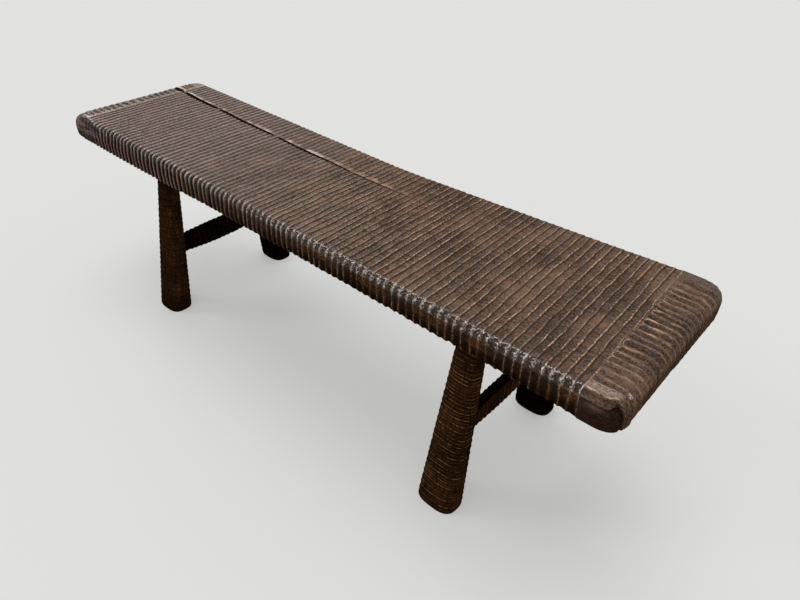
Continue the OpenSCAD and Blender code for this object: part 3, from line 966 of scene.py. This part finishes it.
def make_leg(node, side, depth, seed, line_strength, shade, sizes, material):
    """A leg: rings of a rounded rectangle, drawn in towards the top and carved between wandering ridges."""
    height = SEAT_LOW[2]
    foot_length = LEG_HIGH[0] - LEG_LOW[0]
    leg_x = (LEG_LOW[0] + LEG_HIGH[0]) / 2
    foot_y = LEG_HIGH[1] - sizes.foot_width / 2
    pitch = height / sizes.rings
    angle = np.linspace(0.0, 2.0 * np.pi, ROUND_STEPS, endpoint=False)[None, :]

    # Each ring is tilted so that it stands nearly square to the leaning leg
    ridge = np.arange(sizes.rings + 1)[:, None]
    lean = (foot_y - sizes.top_reach) / height
    tilt = 0.36 * foot_length * lean * np.sin(angle) * (1.0 - 0.35 * ridge / sizes.rings)
    shift = unsteady(seed, ridge, angle, 7, sizes.wander, 2.0 * MM) + tilt
    ridge_z = pitch * ridge + shift * settled(ridge, sizes.rings, 1.5)
    ring, share = cut_rows(sizes.rings)
    z = ridge_z[ring] * (1.0 - share) + ridge_z[ring + 1] * share

    # The two lowest rows give way to rows close together, which round the sole
    sole = np.array(SOLE_ROWS)
    z = np.concatenate([np.broadcast_to(sole[:, :1] * MM, (len(sole), ROUND_STEPS)), z[2:]])
    share = np.concatenate([sole[:, 1:], share[2:]])
    ring = np.append(np.zeros(len(sole), dtype=int), ring[2:])[:, None]
    drop = np.clip(sizes.sole_radius - z, 0.0, sizes.sole_radius)
    tuck = sizes.sole_radius - np.sqrt(np.maximum(sizes.sole_radius ** 2 - drop ** 2, 0.0))

    up = z / height
    half_length = (foot_length + (sizes.top_length - foot_length) * up) / 2
    half_width = (sizes.foot_width + (sizes.top_width - sizes.foot_width) * up) / 2
    uneven = 1.0 + 0.25 * per_line(seed + 2, ring) + 0.3 * around(seed + 3, ring, angle, 4)
    cut = sizes.ring_depth * np.clip(uneven, 0.35, 1.6) * scoop(share) * rise(height - z, 0, 4)
    cut = cut + 0.5 * MM * (0.5 + 0.5 * around(seed + 4, 0, angle, 5)) + 0.6 * tuck
    x, y = superellipse(angle, half_length - cut, half_width - cut, 2.85 - 0.45 * up)
    centre_y = foot_y + (sizes.top_reach - foot_y) * up
    vertices = np.stack([side * (leg_x + x), depth * (centre_y + y), z], axis=-1)
    ends = np.array([
        [side * leg_x, depth * foot_y, 0.0],
        [side * leg_x, depth * sizes.top_reach, height],
    ])

    # A line also shows along the middle of each ring, more weakly
    to_middle = np.abs(share - 0.5)
    nearest = np.minimum(np.minimum(share, 1.0 - share), to_middle)
    weaker = np.clip(1.0 - 4.0 * to_middle, 0.0, 1.0) * (0.65 + 0.35 * per_line(seed + 6, ring))
    rubbed = line_strength * (0.65 + 0.45 * around(seed + 5, ring, angle, 14)) * (1.0 - weaker)
    above_sole = z > SOLE_HEIGHT
    # Painted shade: each leg's own shade, lighter round a far leg's outer side, and more just under the seat.
    under_seat = rise(z - height, -SHADE_REACH, SHADE_REACH)
    shade = shade * (1.0 - 0.5 * (depth > 0) * np.clip(np.sin(angle), 0.0, 1.0))
    streak = np.exp(-np.square((angle - 5.35) / 0.22))
    values = {
        "ridge_distance": np.where(above_sole, nearest * pitch, NO_RIDGE),
        "ridge_strength": np.clip(rubbed, 0.0, 1.0) * (1.0 - 0.6 * under_seat),
        "painted_shade": shade + (1.0 - shade) * 0.55 * under_seat,
        "warmth": 0.25 + 0.6 * streak * rise(z, 150, 50),
        "stain": 0.9 * stain_and_shade(1.0 - share, 1.0),
    }
    line = np.where(above_sole & (share % 1.0 == 0.0), ring + 1 + (share >= 1.0), 0)
    add_tube(node, vertices, ends, values, line, material)


# The stretchers

CORNER_STEPS = 5
FACE_STEPS = 9


def board_section():
    """The outline of a board's section with rounded edges, once round from the outer face over the top.

    Each vertex lies one rounding's radius away from a point on an inner rectangle. The four rows give the
    direction across and upward from that point, its side from -1 to 1, and its height from 0 to 1.
    """
    quarter = np.linspace(0.0, np.pi / 2, CORNER_STEPS)
    face = np.linspace(0.0, 1.0, FACE_STEPS + 2)[1:-1]

    def corner(turns, side, height):
        return np.cos(quarter + turns * np.pi / 2), np.sin(quarter + turns * np.pi / 2), side, height

    stretches = (
        corner(0, 1.0, 1.0), (0.0, 1.0, 0.0, 1.0),
        corner(1, -1.0, 1.0), (-1.0, 0.0, -1.0, 1.0 - face),
        corner(2, -1.0, 0.0), (0.0, -1.0, 0.0, 0.0),
        corner(3, 1.0, 0.0), (1.0, 0.0, 1.0, face),
    )
    rows = [np.stack(np.broadcast_arrays(*stretch)).reshape(4, -1) for stretch in stretches]
    return np.concatenate(rows, axis=1)


def make_stretcher(node, side, seed, line_strength, shade, sizes, material):
    """A stretcher: a board's section with rounded edges, carried from leg to leg and fluted upright."""
    across, upward, core_side, core_height = board_section()
    middle_x = (RAIL_LOW[0] + RAIL_HIGH[0]) / 2
    middle_z = (RAIL_LOW[2] + RAIL_HIGH[2]) / 2
    half_core = (RAIL_HIGH[0] - RAIL_LOW[0]) / 2 - sizes.edge_radius
    angle = 2.0 * np.pi * np.arange(len(across))[None, :] / len(across)
    pitch = 2.0 * sizes.reach / sizes.flutes

    ridge = np.arange(sizes.flutes + 1)[:, None]
    shift = unsteady(seed, ridge, angle, 5, sizes.wander, 1.6 * MM)
    ridge_y = pitch * ridge - sizes.reach + shift * settled(ridge, sizes.flutes, 1.2)
    flute, share = cut_rows(sizes.flutes)
    y = ridge_y[flute] * (1.0 - share) + ridge_y[flute + 1] * share
    flute = flute[:, None]

    toward_end = np.square(y / sizes.reach)
    core_top = RAIL_HIGH[2] - sizes.upper_rise * toward_end - sizes.edge_radius
    core_bottom = RAIL_LOW[2] + sizes.lower_drop * toward_end + sizes.edge_radius
    uneven = 1.0 + 0.35 * per_line(seed + 2, flute)
    deeper = 1.0 + 1.1 * (np.abs(upward) > 0.3)
    radius = sizes.edge_radius - sizes.flute_depth * uneven * deeper * scoop(share)
    x = core_side * half_core + across * radius
    z = core_bottom + (core_top - core_bottom) * core_height + upward * radius
    vertices = np.stack([side * (middle_x + x), y, z], axis=-1)
    ends = np.array([
        [side * middle_x, -sizes.reach, middle_z],
        [side * middle_x, sizes.reach, middle_z],
    ])

    # Painted shade: each stretcher's own shade, and most on its upper face under the seat.
    on_top = upward > 0.3
    values = {
        "ridge_distance": np.minimum(share, 1.0 - share) * pitch,
        "ridge_strength": line_strength * (1.0 - 0.8 * on_top),
        "painted_shade": shade + (0.95 - shade) * on_top,
        "warmth": 0.35,
        "stain": 0.7 * stain_and_shade(share, 1.0),
    }
    line = np.where(share % 1.0 == 0.0, flute + 1 + (share >= 1.0), 0)
    add_tube(node, vertices, ends, values, line, material)


# Finishes

def opaque(colour):
    """A plain colour with full alpha. A socket stays as it is."""
    return colour if isinstance(colour, bpy.types.NodeSocket) else (*colour, 1.0)


def add_node(tree, kind, inputs=None, **settings):
    """Adds a shader node, sets it up, and links or fills its named inputs."""
    node = tree.nodes.new(kind)
    for key, value in settings.items():
        setattr(node, key, value)
    for key, value in (inputs or {}).items():
        socket = node.inputs[key]
        if isinstance(value, bpy.types.NodeSocket):
            tree.links.new(value, socket)
        else:
            socket.default_value = value
    return node


def math(tree, operation, *values, clamp=False):
    """A Math node's result for sockets or plain numbers."""
    inputs = dict(enumerate(values))
    return add_node(tree, "ShaderNodeMath", inputs, operation=operation, use_clamp=clamp).outputs[0]


def product(tree, first, *others):
    """The product of sockets and plain numbers."""
    for other in others:
        first = math(tree, "MULTIPLY", first, other)
    return first


def ramp(tree, value, low, high, start=0.0, end=1.0):
    """Maps a value that runs from low to high smoothly onto start to end."""
    inputs = {"Value": value, "From Min": low, "From Max": high, "To Min": start, "To Max": end}
    node = add_node(tree, "ShaderNodeMapRange", inputs, interpolation_type="SMOOTHSTEP")
    return node.outputs["Result"]


def blend(tree, share, first, second, blend_type="MIX"):
    """Blends two colours by a share. Each is a socket, or red, green and blue."""
    inputs = {"Factor": share, 6: opaque(first), 7: opaque(second)}
    return add_node(tree, "ShaderNodeMix", inputs, data_type="RGBA", blend_type=blend_type).outputs[2]


def tinted(tree, colour, tint):
    """A colour multiplied by a tint."""
    return blend(tree, 1.0, colour, tint, "MULTIPLY")


def noise(tree, vector, scale, detail, roughness):
    """A Noise texture's value."""
    inputs = {"Vector": vector, "Scale": scale, "Detail": detail, "Roughness": roughness}
    return add_node(tree, "ShaderNodeTexNoise", inputs).outputs["Fac"]


def bumped(tree, height, strength, distance):
    """The normal of a surface that a height raises."""
    inputs = {"Height": height, "Strength": strength, "Distance": distance}
    return add_node(tree, "ShaderNodeBump", inputs).outputs["Normal"]


def value_of(tree, name):
    """A value that a shape keeps at its vertices."""
    return add_node(tree, "ShaderNodeAttribute", attribute_name=name).outputs["Fac"]


def wood_places(tree, grain):
    """Object coordinates, plain and drawn out along the grain."""
    place = add_node(tree, "ShaderNodeTexCoord").outputs["Object"]
    drawn = add_node(tree, "ShaderNodeVectorMath", {0: place, 1: grain}, operation="MULTIPLY")
    return place, drawn.outputs[0]


def new_group(name, inputs, outputs):
    """An empty shader group with inputs of a kind and default, and outputs that are numbers."""
    tree = bpy.data.node_groups.new(name, "ShaderNodeTree")
    for socket, kind, default in inputs:
        made = tree.interface.new_socket(name=socket, in_out="INPUT", socket_type=kind)
        made.default_value = default
    for socket in outputs:
        tree.interface.new_socket(name=socket, in_out="OUTPUT", socket_type="NodeSocketFloat")
    return tree, tree.nodes.new("NodeGroupInput").outputs, tree.nodes.new("NodeGroupOutput").inputs


def give(tree, result, outputs):
    """Links what a group works out to its outputs."""
    for name, socket in outputs.items():
        tree.links.new(socket, result[name])


def ridge_group(name):
    """Rubbed ridges: a thin broken line where the bare wood shows, and the dark stain and painted shade held
    beside it.
    """
    tree, given, result = new_group(
        name, [("Grain", "NodeSocketVector", (1.0, 1.0, 1.0)), ("Width", "NodeSocketFloat", 0.9 * MM)],
        ["Line", "Shade"])
    place, drawn = wood_places(tree, given["Grain"])
    dashes = noise(tree, drawn, 200.0, 3.0, 0.7)
    spells = noise(tree, place, 34.0, 2.0, 0.5)
    width = product(tree, given["Width"], ramp(tree, dashes, 0.36, 0.64, 0.7, 1.4))
    widths_away = math(tree, "DIVIDE", value_of(tree, "ridge_distance"), width)
    nearness = math(tree, "SUBTRACT", 1.0, widths_away, clamp=True)
    kept = product(
        tree, ramp(tree, dashes, 0.40, 0.57, 0.15, 1.0), ramp(tree, spells, 0.34, 0.52, 0.15, 1.0),
        value_of(tree, "ridge_strength"))
    raggedness = product(tree, math(tree, "SUBTRACT", dashes, 0.5), 0.7)
    ragged = math(tree, "ADD", value_of(tree, "stain"), raggedness)
    give(tree, result, {
        "Line": product(tree, ramp(tree, nearness, 0.0, 0.7), kept),
        "Shade": ramp(tree, ragged, 0.15, 0.85),
    })


def grain_group(name):
    """Teak grain: long fibres, pores, slow patches of stain and fine specks, from Object coordinates."""
    tree, given, result = new_group(
        name, [("Grain", "NodeSocketVector", (1.0, 1.0, 1.0))],
        ["Fibres", "Pores", "Patches", "Speckle", "Weather", "Frost", "Height"])
    place, drawn = wood_places(tree, given["Grain"])
    fibres = noise(tree, drawn, 260.0, 5.0, 0.65)
    speckle = noise(tree, place, 340.0, 4.0, 0.75)
    give(tree, result, {
        "Fibres": fibres,
        "Pores": ramp(tree, noise(tree, drawn, 700.0, 2.0, 0.5), 0.60, 0.72),
        "Patches": noise(tree, place, 11.0, 4.0, 0.6),
        "Speckle": speckle,
        "Weather": noise(tree, place, 17.0, 3.0, 0.6),
        "Frost": noise(tree, place, 560.0, 2.0, 0.6),
        "Height": math(tree, "ADD", product(tree, fibres, 0.6), product(tree, speckle, 0.5)),
    })


def use_group(tree, name, make, **inputs):
    """Places a shader group in a material, and makes it first where it isn't there yet."""
    if name not in bpy.data.node_groups:
        make(name)
    node = add_node(tree, "ShaderNodeGroup", node_tree=bpy.data.node_groups[name])
    for key, value in inputs.items():
        node.inputs[key].default_value = value
    return node.outputs


def new_material(name):
    """A material with an empty node tree."""
    material = bpy.data.materials.new(name)
    material.use_nodes = True
    material.node_tree.nodes.clear()
    return material, material.node_tree


def stained_colour(tree, wood, shade, dark, light, colours):
    """Patchy stain, cooler in spells, rusty where it is thin, worn pale with painted sheen, and dark in the
    cuts with stain and painted shade, and in the pores.
    """
    mixed = math(tree, "ADD", product(tree, wood["Fibres"], 0.35), product(tree, wood["Speckle"], 0.62))
    mixed = math(tree, "ADD", mixed, product(tree, wood["Patches"], 0.45))
    colour = blend(tree, ramp(tree, mixed, 0.59, 0.83), dark, light)
    cool = tinted(tree, colour, (0.78, 0.86, 0.93))
    colour = blend(tree, ramp(tree, wood["Weather"], 0.46, 0.60), colour, cool)
    thin = product(tree, ramp(tree, wood["Fibres"], 0.50, 0.66), ramp(tree, wood["Patches"], 0.52, 0.66))
    warmth = math(tree, "ADD", 0.25, value_of(tree, "warmth"))
    rusty = math(tree, "MULTIPLY", thin, warmth, clamp=True)
    colour = blend(tree, rusty, colour, colours.rust)
    # Painted sheen and wear: paler where ridges are worn or would catch the sheen, most on the left half.
    rubbed = product(tree, value_of(tree, "wear_and_sheen"), ramp(tree, wood["Speckle"], 0.34, 0.60, 0.45, 1.0))
    colour = blend(tree, rubbed, colour, colours.wear_and_sheen)
    # Stain and painted shade: the cuts darken towards the darkest stain.
    colour = blend(tree, product(tree, shade, 0.80), colour, dark)
    return blend(tree, product(tree, wood["Pores"], 0.5), colour, dark)


def carved_teak(name, dark, light, ridge, colours, grain, line_width):
    """Stained teak: patchy dark stain over grain, bare ridges and flecks, painted shade and glints, and wax
    where it is polished.
    """
    material, tree = new_material(name)
    ridges = use_group(tree, "Rubbed ridges", ridge_group, Grain=grain, Width=line_width)
    wood = use_group(tree, "Teak grain", grain_group, Grain=grain)
    painted_shade, warmth, polish = (value_of(tree, value) for value in ("painted_shade", "warmth", "polish"))

    colour = stained_colour(tree, wood, ridges["Shade"], dark, light, colours)
    # Painted shade: the colour dims towards the shadow tint.
    colour = blend(tree, painted_shade, colour, tinted(tree, colour, colours.shadow))
    bare = product(
        tree, ramp(tree, warmth, 0.30, 0.90), ramp(tree, wood["Frost"], 0.50, 0.63, 0.0, 0.80),
        ramp(tree, wood["Fibres"], 0.44, 0.60, 0.2, 1.0))
    colour = blend(tree, bare, colour, colours.glow)

    # Ridge lines turn to the glow where warm, to pale where polished as a painted glint, and darker with the
    # painted shade.
    ridge = blend(tree, ramp(tree, warmth, 0.30, 0.80), ridge, colours.glow)
    ridge = blend(tree, ramp(tree, polish, 0.45, 0.90), ridge, colours.pale)
    ridge = blend(tree, product(tree, painted_shade, 0.6), ridge, tinted(tree, ridge, colours.shadow))
    colour = blend(tree, product(tree, ridges["Line"], 0.92), colour, ridge)

    # Painted glints: pale specks on the polished shoulder, lobes and lip, kept out of the shaded cuts.
    painted_glint = product(
        tree, ramp(tree, polish, 0.60, 1.0), ramp(tree, wood["Speckle"], 0.50, 0.61, 0.0, 0.95),
        math(tree, "SUBTRACT", 1.0, ridges["Shade"]))
    colour = blend(tree, painted_glint, colour, colours.pale)
    wax = product(
        tree, polish, ramp(tree, wood["Speckle"], 0.44, 0.58, 0.08, 1.0),
        math(tree, "SUBTRACT", 1.0, product(tree, ridges["Shade"], 0.6)))
    shader = add_node(tree, "ShaderNodeBsdfPrincipled", {
        "Base Color": colour,
        "Roughness": ramp(tree, wood["Speckle"], 0.3, 0.7, 0.50, 0.70),
        "Normal": bumped(tree, wood["Height"], 0.55, 1.0 * MM),
        "Specular IOR Level": 0.0,
        "Coat Weight": wax,
        "Coat IOR": 1.9,
        "Coat Roughness": 0.24,
    })
    add_node(tree, "ShaderNodeOutputMaterial", {"Surface": shader.outputs["BSDF"]})
    return material


def wedge_wood(colours):
    """Plain hardwood for the hidden wedges: straight fibres and small pores, unwaxed."""
    material, tree = new_material("wedge_wood")
    wood = use_group(tree, "Teak grain", grain_group, Grain=(1.0, 1.0, 0.12))
    deep = tuple(0.55 * part for part in colours.wedge)
    colour = blend(tree, ramp(tree, wood["Fibres"], 0.3, 0.7), deep, colours.wedge)
    colour = blend(tree, product(tree, wood["Pores"], 0.5), colour, deep)
    shader = add_node(tree, "ShaderNodeBsdfPrincipled", {
        "Base Color": colour,
        "Roughness": 0.62,
        "Normal": bumped(tree, wood["Height"], 0.3, 0.4 * MM),
    })
    add_node(tree, "ShaderNodeOutputMaterial", {"Surface": shader.outputs["BSDF"]})
    return material


# Operators

class CARVED_BENCH_OT_seat(Operator):
    """Carve the seat slab: cross flutes, short end flutes, drying crack and worn corners"""
    bl_idname = "carved_bench.seat"
    bl_label = "Carve seat"

    def execute(self, context):
        colours = context.scene.bench_colours
        material = carved_teak(
            "seat_teak", colours.seat_dark, colours.seat_light, colours.ridge, colours,
            (0.14, 1.0, 1.0), 1.1 * MM)
        make_seat(context.scene.bench_seat, material)
        return {"FINISHED"}


class CARVED_BENCH_OT_legs(Operator):
    """Carve the four splayed legs with rings"""
    bl_idname = "carved_bench.legs"
    bl_label = "Carve legs"

    def execute(self, context):
        colours = context.scene.bench_colours
        material = carved_teak(
            "leg_teak", colours.leg_dark, colours.leg_light, colours.leg_ridge, colours,
            (1.0, 1.0, 0.16), 1.0 * MM)
        # The last number is each leg's painted shade.
        for node, side, depth, seed, line_strength, shade in (
            ("leg_near_left", -1, -1, 100, 0.28, 0.22),
            ("leg_near_right", 1, -1, 200, 1.00, 0.0),
            ("leg_far_left", -1, 1, 300, 0.10, 1.0),
            ("leg_far_right", 1, 1, 400, 0.10, 1.0),
        ):
            make_leg(node, side, depth, seed, line_strength, shade, context.scene.bench_legs, material)
        return {"FINISHED"}


class CARVED_BENCH_OT_stretchers(Operator):
    """Carve the two stretchers with upright flutes and a knobbly upper edge"""
    bl_idname = "carved_bench.stretchers"
    bl_label = "Carve stretchers"

    def execute(self, context):
        colours = context.scene.bench_colours
        material = carved_teak(
            "stretcher_teak", colours.leg_dark, colours.leg_light, colours.leg_ridge, colours,
            (1.0, 0.16, 1.0), 1.0 * MM)
        # The last number is each stretcher's painted shade.
        for node, side, seed, line_strength, shade in (
            ("stretcher_left", -1, 500, 0.15, 0.90),
            ("stretcher_right", 1, 600, 0.5, 0.15),
        ):
            make_stretcher(node, side, seed, line_strength, shade, context.scene.bench_stretchers, material)
        return {"FINISHED"}


class CARVED_BENCH_OT_wedges(Operator):
    """Give the hidden wedges their plain wood"""
    bl_idname = "carved_bench.wedges"
    bl_label = "Finish wedges"

    def execute(self, context):
        material = wedge_wood(context.scene.bench_colours)
        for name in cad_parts:
            if "wedge" in name:
                wedge = bpy.data.objects[name]
                for place in wedge.material_slots:
                    place.material = material
        return {"FINISHED"}


class CARVED_BENCH_OT_stage(Operator):
    """Set the pale floor, the soft lights and the camera"""
    bl_idname = "carved_bench.stage"
    bl_label = "Set stage"

    def execute(self, context):
        stage = context.scene.bench_stage
        make_floor(context, stage)
        make_lights(context, stage)
        make_camera(context)
        return {"FINISHED"}


class CARVED_BENCH_PT_panel(Panel):
    """Lists the bench's pieces with their sizes"""
    bl_idname = "CARVED_BENCH_PT_panel"
    bl_label = "Carved bench"
    bl_space_type = "VIEW_3D"
    bl_region_type = "UI"
    bl_category = "Carved bench"

    def draw(self, context):
        for group, operator in (
            ("bench_seat", "carved_bench.seat"),
            ("bench_legs", "carved_bench.legs"),
            ("bench_stretchers", "carved_bench.stretchers"),
            ("bench_colours", "carved_bench.wedges"),
            ("bench_stage", "carved_bench.stage"),
        ):
            box = self.layout.box()
            sizes = getattr(context.scene, group)
            for key in sizes.__annotations__:
                box.prop(sizes, key)
            box.operator(operator)


# Floor, lights and camera

CAMERA_PLACE = (0.87849, -0.80377, 1.03929)
CAMERA_TURN = -40.66
CAMERA_DOWN = 36.80
CAMERA_ROLL = 1.73
CAMERA_LENS = 28.715
CAMERA_SENSOR = 36.0


def make_floor(context, stage):
    """A level pale floor, which the camera and reflections see in full and other light sees dimmed."""
    reach = stage.floor_reach
    corners = [(-reach, -reach, 0.0), (reach, -reach, 0.0), (reach, reach, 0.0), (-reach, reach, 0.0)]
    mesh = bpy.data.meshes.new("floor")
    mesh.from_pydata(corners, [], [(0, 1, 2, 3)])
    floor = bpy.data.objects.new("floor", mesh)
    context.scene.collection.objects.link(floor)
    material, tree = new_material("floor")
    path = add_node(tree, "ShaderNodeLightPath").outputs
    reflected = math(tree, "MAXIMUM", path["Is Glossy Ray"], path["Is Transmission Ray"])
    seen = math(tree, "MAXIMUM", path["Is Camera Ray"], reflected)
    lit = add_node(tree, "ShaderNodeBsdfDiffuse", {"Color": opaque(stage.floor_colour)})
    steady = add_node(tree, "ShaderNodeEmission", {"Color": opaque(stage.floor_colour), "Strength": 1.0})
    softened = add_node(tree, "ShaderNodeMixShader", {0: 0.45, 1: lit.outputs[0], 2: steady.outputs[0]})
    dim = add_node(tree, "ShaderNodeBsdfDiffuse", {"Color": opaque(stage.floor_bounce)})
    shown = add_node(tree, "ShaderNodeMixShader", {0: seen, 1: dim.outputs[0], 2: softened.outputs[0]})
    add_node(tree, "ShaderNodeOutputMaterial", {"Surface": shown.outputs[0]})
    mesh.materials.append(material)


def aim(light, direction):
    """Turns a light so that it shines from a direction."""
    towards = np.array(direction) / np.linalg.norm(direction)
    side = np.cross([0.0, 1.0, 0.0], towards)
    side = side / np.linalg.norm(side)
    over = np.cross(towards, side)
    light.matrix_world = Matrix(np.stack([side, over, towards], axis=1).tolist()).to_4x4()


def make_lights(context, stage):
    """A white dome, a broad light from above, a broad low one from far left and one from near left."""
    world = bpy.data.worlds.new("dome")
    world.use_nodes = True
    background = world.node_tree.nodes["Background"]
    background.inputs["Color"].default_value = (1.0, 1.0, 1.0, 1.0)
    background.inputs["Strength"].default_value = stage.dome_strength
    context.scene.world = world
    for name, direction, strength, spread in (
        ("top_light", (-0.10, 0.09, 1.0), stage.top_strength, 40.0),
        ("back_light", (-0.85, 0.38, 0.40), stage.back_strength, 40.0),
        ("side_light", (-0.75, -0.50, 0.48), stage.side_strength, 16.0),
    ):
        lamp = bpy.data.lights.new(name, "SUN")
        lamp.energy = strength
        lamp.angle = np.radians(spread)
        light = bpy.data.objects.new(name, lamp)
        context.scene.collection.objects.link(light)
        aim(light, direction)


def make_camera(context):
    """The camera: where it stands, how far it is turned, tipped down and rolled, and its lens."""
    turn, down, roll = np.radians([CAMERA_TURN, CAMERA_DOWN, CAMERA_ROLL])
    forward = np.array([np.sin(turn) * np.cos(down), np.cos(turn) * np.cos(down), -np.sin(down)])
    right = np.cross(forward, [0.0, 0.0, 1.0])
    right = right / np.linalg.norm(right)
    over = np.cross(right, forward)
    rolled_right = np.cos(roll) * right + np.sin(roll) * over
    rolled_over = np.cos(roll) * over - np.sin(roll) * right
    matrix = np.eye(4)
    matrix[:3] = np.stack([rolled_right, rolled_over, -forward, CAMERA_PLACE], axis=1)
    data = bpy.data.cameras.new("camera")
    data.sensor_fit = "HORIZONTAL"
    data.sensor_width = CAMERA_SENSOR
    data.lens = CAMERA_LENS
    camera = bpy.data.objects.new("camera", data)
    camera.matrix_world = Matrix(matrix.tolist())
    context.scene.collection.objects.link(camera)
    context.scene.camera = camera
    context.scene.view_settings.view_transform = "Standard"


# Registration

SETTINGS = (
    ("bench_seat", SeatSizes),
    ("bench_legs", LegSizes),
    ("bench_stretchers", StretcherSizes),
    ("bench_colours", TeakColours),
    ("bench_stage", StageSizes),
)
OPERATORS = (
    CARVED_BENCH_OT_seat,
    CARVED_BENCH_OT_legs,
    CARVED_BENCH_OT_stretchers,
    CARVED_BENCH_OT_wedges,
    CARVED_BENCH_OT_stage,
)


def register():
    for name, kind in SETTINGS:
        bpy.utils.register_class(kind)
        setattr(bpy.types.Scene, name, PointerProperty(type=kind))
    for kind in OPERATORS:
        bpy.utils.register_class(kind)
    bpy.utils.register_class(CARVED_BENCH_PT_panel)


def unregister():
    bpy.utils.unregister_class(CARVED_BENCH_PT_panel)
    for kind in reversed(OPERATORS):
        bpy.utils.unregister_class(kind)
    for name, kind in reversed(SETTINGS):
        delattr(bpy.types.Scene, name)
        bpy.utils.unregister_class(kind)


def main():
    register()
    bpy.ops.carved_bench.seat()
    bpy.ops.carved_bench.legs()
    bpy.ops.carved_bench.stretchers()
    bpy.ops.carved_bench.wedges()
    bpy.ops.carved_bench.stage()


if __name__ == "__main__":
    main()
